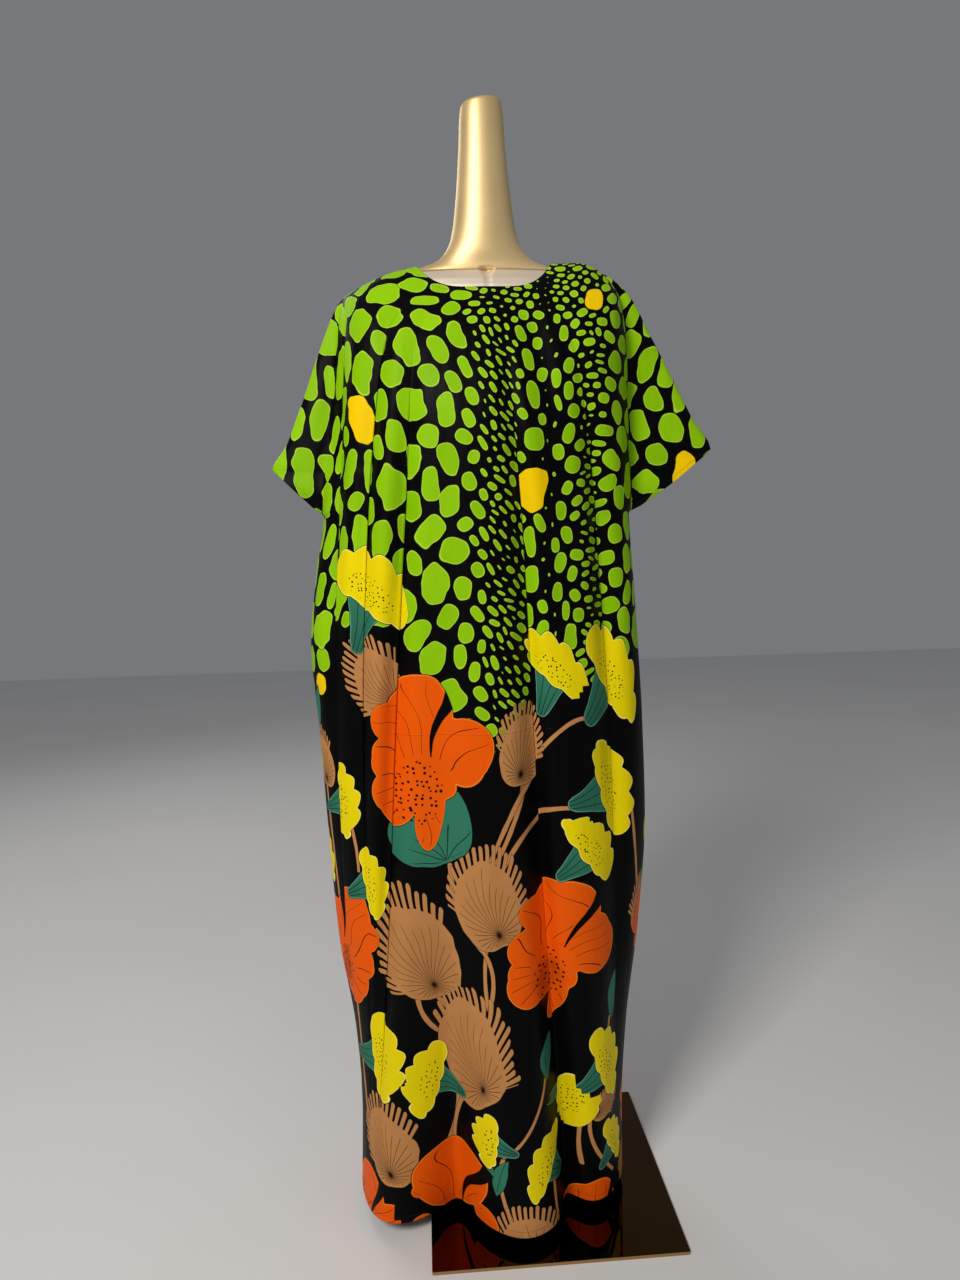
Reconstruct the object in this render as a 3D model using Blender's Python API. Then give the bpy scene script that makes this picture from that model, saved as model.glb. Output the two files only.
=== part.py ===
"""A long printed robe with short sleeves cut in one with the body, worn by a limbless display form.

Metres, +Z up, the front facing -Y. The origin is on the underside of the stand's plate, below the pole.
"""

import math
from collections import namedtuple

import bmesh
import bpy
import numpy as np

# ---------------------------------------------------------------- driving sizes
CLOTH = 0.0018  # thickness of the cloth's wall
SEAM_GAP = 0.0003  # between the front and the back along their seams
REST_GAP = 0.0004  # between touching pieces of the form and its stand
HEM = 0.027  # height of the robe's hem above the floor
BODY_SQUARENESS = 2.3  # 2 is an ellipse in plan, more is squarer
EDGE_ROUNDNESS = 0.45  # less makes the sleeves' and the sides' edges blunter
ROW_STEP = 0.044  # spacing of the cloth's rows of points down the robe
COLUMNS = 50  # steps across each panel
CROWDING = 0.55  # how much closer together the steps lie beside a fold, 0 is evenly
CALM = 0.024  # beside a seam the folds fade out over this distance

PLATE = 0.388  # side of the square plate
PLATE_THICK = 0.006
PLATE_SHIFT = 0.064  # the plate's centre to the right of the pole
PLATE_CORNER = 0.003
COLLAR_RADIUS = 0.026
COLLAR_HEIGHT = 0.030
POLE_RADIUS = 0.0125
POLE_TOP_FLANGE = 0.055
FLANGE_THICK = 0.008

# The robe in rings from the neckline to the hem. left and right are the side edges, which are the
# shoulder seam, the outer edge of the sleeve and then the side seam. The edges' heights and those of
# the centre front and back are above the floor. axis and body are the middle and the half width of
# the trunk, sleeve is half the sleeve's thickness, rise how sharply a ring climbs to its edges, and
# mouth half of the gap between the front's and the back's edges, which makes the sleeves' openings.
Ring = namedtuple("Ring", "left right left_z right_z front front_z back back_z axis body sleeve rise mouth")
RINGS = {
    "neckline": Ring(-0.107, 0.101, 1.4925, 1.4960, 0.072, 1.444, 0.064, 1.474, -0.003, 0.104, 0.012, 4.0, 0),
    "yoke": Ring(-0.143, 0.140, 1.4842, 1.4965, 0.093, 1.415, 0.087, 1.450, -0.002, 0.142, 0.016, 3.4, 0),
    "shoulder": Ring(-0.185, 0.182, 1.4675, 1.4830, 0.112, 1.380, 0.104, 1.418, -0.004, 0.184, 0.020, 3.0, 0),
    "shoulder_point": Ring(-0.222, 0.222, 1.4430, 1.4510, 0.128, 1.338, 0.117, 1.378, -0.006, 0.214, 0.024, 2.6, 0),
    "upper_arm": Ring(-0.2525, 0.2560, 1.3790, 1.3890, 0.142, 1.292, 0.126, 1.320, -0.009, 0.224, 0.027, 2.2, 0),
    "arm": Ring(-0.2860, 0.2985, 1.2930, 1.3080, 0.149, 1.240, 0.131, 1.252, -0.013, 0.228, 0.029, 2.0, 0),
    "lower_arm": Ring(-0.3140, 0.3240, 1.2270, 1.2580, 0.150, 1.206, 0.132, 1.214, -0.015, 0.231, 0.030, 2.0, 0),
    "sleeve_tip": Ring(-0.3355, 0.3525, 1.1925, 1.2120, 0.150, 1.180, 0.132, 1.186, -0.017, 0.234, 0.030, 2.0, 0),
    "cuff_top": Ring(-0.3266, 0.3362, 1.1837, 1.1988, 0.150, 1.171, 0.132, 1.177, -0.018, 0.236, 0.030, 2.0, 0.017),
    "cuff": Ring(-0.2990, 0.2840, 1.1560, 1.1580, 0.150, 1.146, 0.132, 1.148, -0.020, 0.238, 0.030, 2.0, 0.026),
    "cuff_end": Ring(-0.2714, 0.2345, 1.1293, 1.1245, 0.150, 1.119, 0.132, 1.119, -0.021, 0.241, 0.030, 2.0, 0.018),
    "underarm": Ring(-0.2610, 0.2160, 1.1190, 1.1130, 0.150, 1.108, 0.132, 1.108, -0.022, 0.242, 0.030, 2.0, 0),
    "ribs": Ring(-0.2745, 0.2210, 1.0350, 1.0350, 0.149, 1.035, 0.133, 1.035, -0.026, 0.252, 0.030, 2.0, 0),
    "hip": Ring(-0.2880, 0.2290, 0.9100, 0.9100, 0.148, 0.910, 0.136, 0.910, -0.028, 0.262, 0.030, 2.0, 0),
    "thigh": Ring(-0.2810, 0.2350, 0.7900, 0.7900, 0.146, 0.790, 0.137, 0.790, -0.025, 0.262, 0.030, 2.0, 0),
    "knee": Ring(-0.2745, 0.2385, 0.6300, 0.6300, 0.143, 0.630, 0.137, 0.630, -0.020, 0.260, 0.030, 2.0, 0),
    "calf": Ring(-0.2650, 0.2250, 0.4500, 0.4500, 0.139, 0.450, 0.136, 0.450, -0.022, 0.248, 0.030, 2.0, 0),
    "shin": Ring(-0.2430, 0.2040, 0.2850, 0.2850, 0.136, 0.285, 0.134, 0.285, -0.022, 0.228, 0.030, 2.0, 0),
    "ankle": Ring(-0.2345, 0.1950, 0.1400, 0.1400, 0.134, 0.140, 0.132, 0.140, -0.021, 0.218, 0.030, 2.0, 0),
    "hem": Ring(-0.2355, 0.1935, HEM, HEM, 0.133, HEM, 0.131, HEM, -0.021, 0.217, 0.030, 2.0, 0),
}

# The folds, with a value at each of five rings. x is where a fold runs, out how far its crest
# stands out, or in if below 0, wide its half width, and lean how far it slips sideways. The steps
# across a panel follow the folds that go in, which are in order from left to right.
FOLD_RINGS = ("neckline", "shoulder_point", "underarm", "knee", "hem")
Fold = namedtuple("Fold", "x out wide lean")
FRONT_FOLDS = {
    "left_armhole": Fold((-0.095, -0.208, -0.236, -0.251, -0.222), (0.000, -0.005, -0.016, -0.005, 0.000),
                         (0.014, 0.014, 0.016, 0.018, 0.016), (0.000, -0.005, -0.010, -0.002, 0.000)),
    "left_breast": Fold((-0.072, -0.150, -0.193, -0.214, -0.213), (0.000, -0.002, -0.010, -0.004, 0.000),
                        (0.013, 0.013, 0.015, 0.016, 0.014), (0.000, 0.000, -0.005, 0.000, 0.000)),
    "left_long": Fold((-0.050, -0.112, -0.135, -0.170, -0.208), (0.000, -0.001, -0.014, -0.023, 0.000),
                      (0.014, 0.014, 0.015, 0.017, 0.014), (0.000, 0.000, -0.008, -0.013, 0.000)),
    "left_lobe": Fold((-0.080, -0.130, -0.162, -0.178, -0.190), (0.000, 0.000, 0.003, 0.006, 0.026),
                      (0.030, 0.030, 0.030, 0.030, 0.040), (0.0, 0.0, 0.0, 0.0, 0.0)),
    "left_scoop": Fold((-0.028, -0.058, -0.078, -0.092, -0.094), (0.000, 0.000, -0.002, -0.008, -0.052),
                       (0.026, 0.028, 0.030, 0.032, 0.038), (0.0, 0.0, 0.0, 0.0, 0.0)),
    "centre_crest": Fold((0.000, -0.010, -0.025, -0.022, 0.016), (0.000, 0.002, 0.005, 0.008, 0.037),
                         (0.030, 0.045, 0.050, 0.055, 0.058), (0.0, 0.0, 0.0, 0.0, 0.0)),
    "centre_long": Fold((0.014, 0.018, 0.030, 0.045, 0.094), (0.000, -0.003, -0.015, -0.025, -0.040),
                        (0.013, 0.014, 0.016, 0.018, 0.022), (0.000, 0.000, 0.004, 0.008, 0.004)),
    "right_crest": Fold((0.040, 0.055, 0.088, 0.105, 0.150), (0.000, 0.002, 0.008, 0.011, 0.006),
                        (0.020, 0.026, 0.028, 0.036, 0.032), (0.0, 0.0, 0.0, 0.0, 0.0)),
    "right_armhole": Fold((0.080, 0.112, 0.152, 0.172, 0.172), (0.000, -0.006, -0.022, -0.010, 0.000),
                          (0.016, 0.019, 0.021, 0.020, 0.016), (0.000, 0.003, 0.007, 0.002, 0.000)),
}
BACK_FOLDS = {
    "back_left_armhole": Fold((-0.085, -0.180, -0.210, -0.222, -0.212), (0.000, -0.006, -0.020, -0.012, -0.006),
                              (0.016, 0.018, 0.020, 0.020, 0.016), (0.0, 0.002, 0.006, 0.002, 0.0)),
    "back_left_crest": Fold((-0.070, -0.120, -0.138, -0.150, -0.148), (0.000, 0.000, 0.005, 0.010, 0.016),
                            (0.030, 0.030, 0.034, 0.036, 0.036), (0.0, 0.0, 0.0, 0.0, 0.0)),
    "back_left": Fold((-0.035, -0.070, -0.086, -0.098, -0.090), (0.000, -0.002, -0.012, -0.024, -0.044),
                      (0.018, 0.018, 0.020, 0.023, 0.026), (0.0, 0.0, -0.004, -0.006, 0.0)),
    "back_middle": Fold((0.000, -0.010, -0.014, -0.022, -0.026), (0.000, 0.000, 0.006, 0.012, 0.026),
                        (0.030, 0.040, 0.044, 0.042, 0.040), (0.0, 0.0, 0.0, 0.0, 0.0)),
    "back_right": Fold((0.030, 0.058, 0.060, 0.050, 0.046), (0.000, -0.002, -0.014, -0.026, -0.044),
                       (0.016, 0.018, 0.020, 0.023, 0.026), (0.0, 0.0, 0.004, 0.007, 0.0)),
    "back_right_crest": Fold((0.065, 0.108, 0.115, 0.115, 0.110), (0.000, 0.000, 0.006, 0.010, 0.018),
                             (0.030, 0.030, 0.034, 0.034, 0.032), (0.0, 0.0, 0.0, 0.0, 0.0)),
    "back_right_armhole": Fold((0.082, 0.160, 0.172, 0.174, 0.160), (0.000, -0.006, -0.020, -0.016, -0.010),
                               (0.016, 0.018, 0.020, 0.020, 0.016), (0.0, -0.002, -0.006, -0.002, 0.0)),
}

# The form in level rings from its flat bottom to the top of its long neck.
FormRing = namedtuple("FormRing", "z side front back")
FORM_RINGS = (
    FormRing(0.800, 0.140, 0.080, 0.092), FormRing(0.806, 0.153, 0.091, 0.103),
    FormRing(0.880, 0.166, 0.102, 0.110), FormRing(0.960, 0.152, 0.096, 0.102),
    FormRing(1.060, 0.122, 0.086, 0.088), FormRing(1.160, 0.136, 0.096, 0.092),
    FormRing(1.250, 0.152, 0.106, 0.100), FormRing(1.330, 0.166, 0.102, 0.102),
    FormRing(1.385, 0.184, 0.086, 0.096), FormRing(1.420, 0.194, 0.070, 0.084),
    FormRing(1.445, 0.190, 0.056, 0.071), FormRing(1.4642, 0.176, 0.047, 0.060),
    FormRing(1.4767, 0.152, 0.041, 0.053), FormRing(1.4849, 0.124, 0.038, 0.049),
    FormRing(1.4909, 0.099, 0.038, 0.046), FormRing(1.4980, 0.079, 0.039, 0.044),
    FormRing(1.510, 0.064, 0.040, 0.043), FormRing(1.538, 0.0505, 0.039, 0.041),
    FormRing(1.590, 0.0425, 0.036, 0.036), FormRing(1.665, 0.0358, 0.032, 0.032),
    FormRing(1.732, 0.0310, 0.028, 0.028), FormRing(1.735, 0.0288, 0.026, 0.026),
)
FORM_SIDES = 32
FORM_SQUARENESS = 2.15
NECK_TOP_SLANT = 0.10  # the cut of the neck falls to the left by this slope


# ---------------------------------------------------------------- curves through tables
def smooth_through(stations, values, at):
    """A smooth curve through values at the increasing stations, with no overshoot, read at points at."""
    x, y = np.asarray(stations, float), np.asarray(values, float)
    step, slope = np.diff(x), np.diff(y) / np.diff(x)
    tangent = np.zeros_like(y)
    tangent[0], tangent[-1] = slope[0], slope[-1]
    for i in range(1, len(x) - 1):
        if slope[i - 1] * slope[i] > 0:
            before, after = 2 * step[i] + step[i - 1], step[i] + 2 * step[i - 1]
            tangent[i] = (before + after) / (before / slope[i - 1] + after / slope[i])
    at = np.clip(at, x[0], x[-1])
    i = np.clip(np.searchsorted(x, at, side="right") - 1, 0, len(x) - 2)
    u = (at - x[i]) / step[i]
    return ((2 * u**3 - 3 * u**2 + 1) * y[i] + (u**3 - 2 * u**2 + u) * step[i] * tangent[i]
            + (3 * u**2 - 2 * u**3) * y[i + 1] + (u**3 - u**2) * step[i] * tangent[i + 1])


def fold_at(fold, place):
    """A fold's sizes at a place down the robe."""
    stations = [RING_PLACES[name] for name in FOLD_RINGS]
    return Fold(*(float(smooth_through(stations, values, place)) for values in fold))


# ---------------------------------------------------------------- the robe's surface
def ring_places():
    """How far down the robe each ring lies, as the mean of the ways down the left edge and the front."""
    rings, places = list(RINGS.values()), [0.0]
    for above, below in zip(rings, rings[1:]):
        down_edge = math.dist((above.left, above.left_z), (below.left, below.left_z))
        down_front = math.dist((above.front, above.front_z), (below.front, below.front_z))
        places.append(places[-1] + (down_edge + down_front) / 2)
    return dict(zip(RINGS, places))


RING_PLACES = ring_places()


def row_places():
    """Where the cloth's rows lie down the robe, with a row on each ring."""
    places, rows = list(RING_PLACES.values()), []
    for above, below in zip(places, places[1:]):
        steps = max(1, round((below - above) / ROW_STEP))
        rows += [above + (below - above) * k / steps for k in range(steps)]
    return np.array(rows + [places[-1]])


def ring_at(place):
    """The ring at a place down the robe."""
    return Ring(*(float(smooth_through(list(RING_PLACES.values()), column, place)) for column in zip(*RINGS.values())))


def bare_row(ring, turn, side):
    """Points of the unfolded cloth along a ring, at angles turn from the centre, on side -1 front or +1 back."""
    x = ring.left + (ring.right - ring.left) * (1 + np.sin(turn)) / 2
    reach = np.where(x < ring.axis, min(ring.body, ring.axis - ring.left), min(ring.body, ring.right - ring.axis))
    share = np.clip(np.abs(x - ring.axis) / reach, 0, 1)
    deep, centre_z = (ring.front, ring.front_z) if side < 0 else (ring.back, ring.back_z)
    trunk = deep * (1 - share**BODY_SQUARENESS) ** (1 / BODY_SQUARENESS)
    slab = ((ring.sleeve * np.abs(np.cos(turn)) ** EDGE_ROUNDNESS) ** 4 + ring.mouth**4) ** 0.25
    edge_z = np.where(turn < 0, ring.left_z, ring.right_z)
    climb = np.abs(np.sin(turn)) ** ring.rise
    return np.stack([x, side * np.cbrt(trunk**3 + slab**3), centre_z + (edge_z - centre_z) * climb], axis=1)


def lengths(points):
    """Distances along a row of points from its first."""
    return np.concatenate([[0], np.cumsum(np.linalg.norm(np.diff(points, axis=0), axis=1))])


def step_counts(shares):
    """COLUMNS shared out between the strips of a panel in proportion to their mean widths."""
    mean = np.mean(shares, axis=0)
    ends = np.round(np.concatenate([[0], np.cumsum(mean)]) / mean.sum() * COLUMNS).astype(int)
    return np.diff(ends)


def panel(side, folds):
    """The middle surface of the front or the back: a grid of points, rows down and columns across."""
    fine = np.linspace(-math.pi / 2, math.pi / 2, 601)
    places, rows = row_places(), []
    for place in places:
        ring = ring_at(place)
        sizes = [fold_at(fold, place) for fold in folds.values()]
        guides = [size.x for size, fold in zip(sizes, folds.values()) if min(fold.out) < 0]
        points = bare_row(ring, fine, side)
        along = lengths(points)
        ends = np.concatenate([[0], np.interp(guides, points[:, 0], along), [along[-1]]])
        rows.append((ring, sizes, along, ends))
    counts = step_counts([np.diff(row[3]) for row in rows])
    grid, push, slip = [], [], []
    for ring, sizes, along, ends in rows:
        stops = []
        for start, end, count in zip(ends, ends[1:], counts):
            share = np.arange(count) / count
            stops += list(start + (end - start) * (share - CROWDING * np.sin(2 * math.pi * share) / (2 * math.pi)))
        stops = np.array(stops + [along[-1]])
        points = bare_row(ring, np.interp(stops, along, fine), side)
        from_seam = np.clip(np.minimum(stops, along[-1] - stops) / CALM, 0, 1)
        calm = from_seam**2 * (3 - 2 * from_seam)
        near = [calm * np.exp(-(((points[:, 0] - size.x) / size.wide) ** 2)) for size in sizes]
        grid.append(points)
        push.append(sum(size.out * n for size, n in zip(sizes, near)))
        slip.append(sum(size.lean * n for size, n in zip(sizes, near)))
    grid = np.array(grid)
    across = np.gradient(grid, axis=1)
    across /= np.linalg.norm(across, axis=2, keepdims=True)
    return grid + outward(grid, side) * np.array(push)[..., None] + across * np.array(slip)[..., None]


def outward(grid, side):
    """Unit normals of a grid of points, pointing away from the wearer: the mean of the faces around each."""
    faces = np.cross(grid[1:, 1:] - grid[:-1, :-1], grid[1:, :-1] - grid[:-1, 1:]) * side
    faces = np.pad(faces, ((1, 1), (1, 1), (0, 0)))
    normal = faces[1:, 1:] + faces[1:, :-1] + faces[:-1, 1:] + faces[:-1, :-1]
    return normal / np.linalg.norm(normal, axis=2, keepdims=True)


def sewn(front, back):
    """Parts the two panels by the seam's gap at their edges, and gives both the same normals there."""
    normals = [outward(front, -1), outward(back, 1)]
    for edge in (0, -1):
        shared = normals[0][:, edge] + normals[1][:, edge]
        closed = np.abs(front[:, edge, 1] - back[:, edge, 1]) < SEAM_GAP
        shared[:, 1] = 0
        shared /= np.linalg.norm(shared, axis=1, keepdims=True)
        for side, grid, normal in ((-1, front, normals[0]), (1, back, normals[1])):
            normal[closed, edge] = shared[closed]
            grid[:, edge, 1] += side * SEAM_GAP / 2
    return normals


# ---------------------------------------------------------------- solids
def finish(name, bm, material):
    mesh = bpy.data.meshes.new(name)
    bm.to_mesh(mesh)
    bm.free()
    mesh.materials.append(material)
    mesh.shade_smooth()
    mesh.set_sharp_from_angle(angle=math.radians(40))
    piece = bpy.data.objects.new(name, mesh)
    bpy.context.scene.collection.objects.link(piece)
    return piece


def wall(name, grid, normals, side, material):
    """A closed wall of cloth: the grid moved half a wall out and half a wall in, joined round its edge."""
    rows, columns = grid.shape[:2]
    bm = bmesh.new()
    layers = [[[bm.verts.new(p) for p in row] for row in grid + normals * offset]
              for offset in (CLOTH / 2, -CLOTH / 2)]
    outer, inner = layers

    def face(*corners):
        bm.faces.new(corners if side < 0 else corners[::-1])

    for r in range(rows - 1):
        for c in range(columns - 1):
            face(outer[r][c], outer[r + 1][c], outer[r + 1][c + 1], outer[r][c + 1])
            face(inner[r][c], inner[r][c + 1], inner[r + 1][c + 1], inner[r + 1][c])
    for r in range(rows - 1):
        face(outer[r][0], inner[r][0], inner[r + 1][0], outer[r + 1][0])
        face(outer[r][-1], outer[r + 1][-1], inner[r + 1][-1], inner[r][-1])
    for c in range(columns - 1):
        face(outer[0][c], outer[0][c + 1], inner[0][c + 1], inner[0][c])
        face(outer[-1][c], inner[-1][c], inner[-1][c + 1], outer[-1][c + 1])
    return finish(name, bm, material)


def form_body(material):
    """The limbless form: level rings joined into one closed skin, with a flat bottom and top."""
    bm = bmesh.new()
    loops = []
    top = FORM_RINGS[-1].z
    for ring in FORM_RINGS:
        loop = []
        slant = NECK_TOP_SLANT * max(0.0, 1 - (top - ring.z) / 0.08)
        for k in range(FORM_SIDES):
            turn = 2 * math.pi * k / FORM_SIDES
            s, c = math.sin(turn), math.cos(turn)
            x = math.copysign(abs(s) ** (2 / FORM_SQUARENESS), s) * ring.side
            y = -math.copysign(abs(c) ** (2 / FORM_SQUARENESS), c) * (ring.front if c > 0 else ring.back)
            loop.append(bm.verts.new((x, y, ring.z + slant * (x - ring.side))))
        loops.append(loop)
    for below, above in zip(loops, loops[1:]):
        for k in range(FORM_SIDES):
            n = (k + 1) % FORM_SIDES
            bm.faces.new((below[k], below[n], above[n], above[k]))
    bm.faces.new(loops[0][::-1])
    bm.faces.new(loops[-1])
    return finish("form_body", bm, material)


def turned(name, profile, sides, material):
    """A solid turned about the pole's axis from (radius, height) points, closed at the axis or as a ring."""
    bm = bmesh.new()
    ring = profile[0][0] > 0
    edge = [bm.verts.new((r, 0, z)) for r, z in profile]
    edges = [bm.edges.new(pair) for pair in zip(edge, edge[1:])]
    if ring:
        edges.append(bm.edges.new((edge[-1], edge[0])))
    bmesh.ops.spin(bm, geom=edge + edges, axis=(0, 0, 1), cent=(0, 0, 0), steps=sides,
                   angle=2 * math.pi, use_merge=True)
    bmesh.ops.remove_doubles(bm, verts=bm.verts, dist=1e-6)
    bmesh.ops.recalc_face_normals(bm, faces=bm.faces)
    return finish(name, bm, material)


def plate(material):
    bm = bmesh.new()
    bmesh.ops.create_cube(bm, size=1)
    bmesh.ops.scale(bm, vec=(PLATE, PLATE, PLATE_THICK), verts=bm.verts)
    bmesh.ops.translate(bm, vec=(PLATE_SHIFT, 0, PLATE_THICK / 2), verts=bm.verts)
    uprights = [e for e in bm.edges if abs(e.verts[0].co.z - e.verts[1].co.z) > PLATE_THICK / 2]
    bmesh.ops.bevel(bm, geom=uprights, offset=PLATE_CORNER, offset_type="OFFSET", segments=3, profile=0.5,
                    affect="EDGES", material=-1)
    return finish("stand_plate", bm, material)


def paint(name, colour, roughness, metallic=0.0):
    material = bpy.data.materials.new(name)
    material.use_nodes = True
    shader = material.node_tree.nodes["Principled BSDF"]
    shader.inputs["Base Color"].default_value = (*colour, 1)
    shader.inputs["Roughness"].default_value = roughness
    shader.inputs["Metallic"].default_value = metallic
    return material


def main():
    for old in list(bpy.data.objects):
        bpy.data.objects.remove(old)
    print_cloth = paint("printed_cloth", (0.10, 0.30, 0.02), 0.6)
    print_back = paint("printed_cloth_back", (0.05, 0.20, 0.02), 0.6)
    gold = paint("gold_lacquer", (0.72, 0.55, 0.26), 0.28, 0.9)
    steel = paint("polished_steel", (0.6, 0.58, 0.55), 0.2, 1.0)
    bronze = paint("bronze_mirror", (0.10, 0.06, 0.02), 0.08, 0.9)

    front, back = panel(-1, FRONT_FOLDS), panel(1, BACK_FOLDS)
    front_normals, back_normals = sewn(front, back)
    wall("robe_front", front, front_normals, -1, print_cloth)
    wall("robe_back", back, back_normals, 1, print_back)

    form_body(gold)
    under_form = FORM_RINGS[0].z - REST_GAP
    flange_base = under_form - FLANGE_THICK
    turned("pole_flange", [(0, under_form), (POLE_TOP_FLANGE, under_form), (POLE_TOP_FLANGE, flange_base),
                           (0, flange_base)], 32, steel)
    pole_foot = PLATE_THICK + REST_GAP
    pole_head = flange_base - REST_GAP
    turned("pole", [(0, pole_head), (POLE_RADIUS, pole_head), (POLE_RADIUS, pole_foot), (0, pole_foot)],
           24, steel)
    collar_bore = POLE_RADIUS + REST_GAP
    collar_foot = PLATE_THICK + REST_GAP
    collar_top = collar_foot + COLLAR_HEIGHT
    turned("pole_collar", [(COLLAR_RADIUS, collar_foot), (collar_bore, collar_foot), (collar_bore, collar_top),
                           (COLLAR_RADIUS - 0.004, collar_top), (COLLAR_RADIUS, collar_top - 0.004)], 32, steel)
    plate(bronze)


main()
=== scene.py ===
# A long printed robe with short cut-on sleeves, hung on a gold display form with a square base plate.
import math
from collections import namedtuple

import bmesh
import bpy
import numpy as np
from mathutils import Matrix, Vector


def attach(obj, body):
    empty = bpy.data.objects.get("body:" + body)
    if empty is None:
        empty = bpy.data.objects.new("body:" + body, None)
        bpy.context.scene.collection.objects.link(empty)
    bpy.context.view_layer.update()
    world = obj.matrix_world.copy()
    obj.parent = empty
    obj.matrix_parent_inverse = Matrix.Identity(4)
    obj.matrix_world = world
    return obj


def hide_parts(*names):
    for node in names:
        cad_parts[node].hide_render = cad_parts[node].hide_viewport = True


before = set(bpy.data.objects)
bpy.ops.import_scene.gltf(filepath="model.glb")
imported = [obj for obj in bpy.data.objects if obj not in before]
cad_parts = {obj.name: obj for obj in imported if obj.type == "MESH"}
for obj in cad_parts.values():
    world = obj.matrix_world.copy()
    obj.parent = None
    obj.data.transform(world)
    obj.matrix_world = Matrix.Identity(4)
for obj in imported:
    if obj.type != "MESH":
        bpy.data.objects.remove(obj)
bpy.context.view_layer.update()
print("frame loaded:", ", ".join(sorted(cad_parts)))


# The camera.
view = {
    "place": (-0.1125, -1.3605, 1.05),
    "lookDown": 5.5,  # degrees
    "tilt": -1.5,
    "turn": -3.8,
    "focalPixels": 855,
    "imageHeight": 1280,
    "sensor": 36.0,
}


def placeCamera():
    down, tilt = math.radians(view["lookDown"]), math.radians(view["tilt"])
    ahead = Vector((0, math.cos(down), -math.sin(down)))
    right = Vector((1, 0, 0))
    up = right.cross(ahead)
    leanRight = math.cos(tilt) * right + math.sin(tilt) * up
    leanUp = math.cos(tilt) * up - math.sin(tilt) * right
    turned = Matrix((leanRight, leanUp, -ahead)).transposed()
    turned = Matrix.Rotation(math.radians(view["turn"]), 3, "Z") @ turned
    camera = bpy.data.objects.new("camera", bpy.data.cameras.new("camera"))
    camera.data.lens = view["focalPixels"] / view["imageHeight"] * view["sensor"]
    camera.data.sensor_width = view["sensor"]
    camera.matrix_world = Matrix.Translation(view["place"]) @ turned.to_4x4()
    bpy.context.scene.collection.objects.link(camera)
    bpy.context.scene.camera = camera


placeCamera()


# The robe's shape.
robe = {
    "cloth": 0.0011,  # thickness of the cloth
    "seamGap": 0.0003,  # between the two panels along their seams
    "squareness": 2.3,  # of the trunk in plan, 2 is an ellipse
    "edgeRoundness": 0.45,
    "rowStep": 0.0085,
    "rowGap": 0.0008,  # rows closer together than this are left out
    "columns": 186,
    "crowding": 0.72,  # how much closer the columns lie beside a fold
    "calm": 0.024,  # the folds fade out this close to a seam
    "hemTurn": 0.011,  # depth of the turned hems
    "hemRows": (0.12, 0.5, 0.8, 1.0, 1.2, 1.6),  # extra rows at neckline and hem, in turned depths
    "tightness": 0.2,  # how wide the step of a doubled fold is, in parts of the fold's width
    "sink": (0.75, 0.02),  # how deep the cloth sinks beside that step, in tucks, and over what length
    "fineSteps": 601,
}

# Rings down the robe, in mm: the side edges, the heights of the edges and of the centre front and back, the
# trunk's middle and half width, half the sleeve's thickness, half of the gap at a sleeve's mouth and, with
# no unit, how sharply a ring climbs to its edges.
Ring = namedtuple("Ring", "left right leftZ rightZ front frontZ back backZ axis body sleeve mouth rise")
rings = {
    "neckline": (-107, 101, 1492.5, 1496, 72, 1444, 64, 1474, -3, 104, 12, 0, 4),
    "yoke": (-143, 140, 1484.2, 1496.5, 93, 1415, 87, 1450, -2, 142, 16, 0, 3.4),
    "shoulder": (-185, 182, 1467.5, 1483, 112, 1380, 104, 1418, -4, 184, 20, 0, 3),
    "shoulderPoint": (-222, 222, 1443, 1451, 128, 1338, 117, 1378, -6, 214, 24, 0, 2.6),
    "upperArm": (-252.5, 256, 1379, 1389, 142, 1292, 126, 1320, -9, 224, 27, 0, 2.2),
    "arm": (-286, 298.5, 1293, 1308, 149, 1240, 131, 1252, -13, 228, 29, 0, 2),
    "lowerArm": (-314, 324, 1227, 1258, 150, 1206, 132, 1214, -15, 231, 30, 0, 2),
    "sleeveTip": (-335.5, 352.5, 1192.5, 1212, 150, 1180, 132, 1186, -17, 234, 30, 0, 2),
    "cuffTop": (-326.6, 336.2, 1183.7, 1198.8, 150, 1171, 132, 1177, -18, 236, 30, 17, 2),
    "cuff": (-299, 284, 1156, 1158, 150, 1146, 132, 1148, -20, 238, 30, 26, 2),
    "cuffEnd": (-271.4, 234.5, 1129.3, 1124.5, 150, 1119, 132, 1119, -21, 241, 30, 18, 2),
    "underarm": (-261, 216, 1119, 1113, 150, 1108, 132, 1108, -22, 242, 30, 0, 2),
    "ribs": (-274.5, 221, 1035, 1035, 149, 1035, 133, 1035, -26, 252, 30, 0, 2),
    "hip": (-288, 229, 910, 910, 148, 910, 136, 910, -28, 262, 30, 0, 2),
    "thigh": (-281, 235, 790, 790, 146, 790, 137, 790, -25, 262, 30, 0, 2),
    "knee": (-274.5, 238.5, 630, 630, 143, 630, 137, 630, -20, 260, 30, 0, 2),
    "calf": (-265, 225, 450, 450, 139, 450, 136, 450, -22, 248, 30, 0, 2),
    "shin": (-243, 204, 285, 285, 136, 285, 134, 285, -22, 228, 30, 0, 2),
    "ankle": (-234.5, 195, 140, 140, 134, 140, 132, 140, -21, 218, 30, 0, 2),
    "hem": (-235.5, 193.5, 27, 27, 133, 27, 131, 27, -21, 217, 30, 0, 2),
}
rings = {name: Ring(*(size / 1000 for size in ring[:-1]), ring[-1]) for name, ring in rings.items()}

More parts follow.
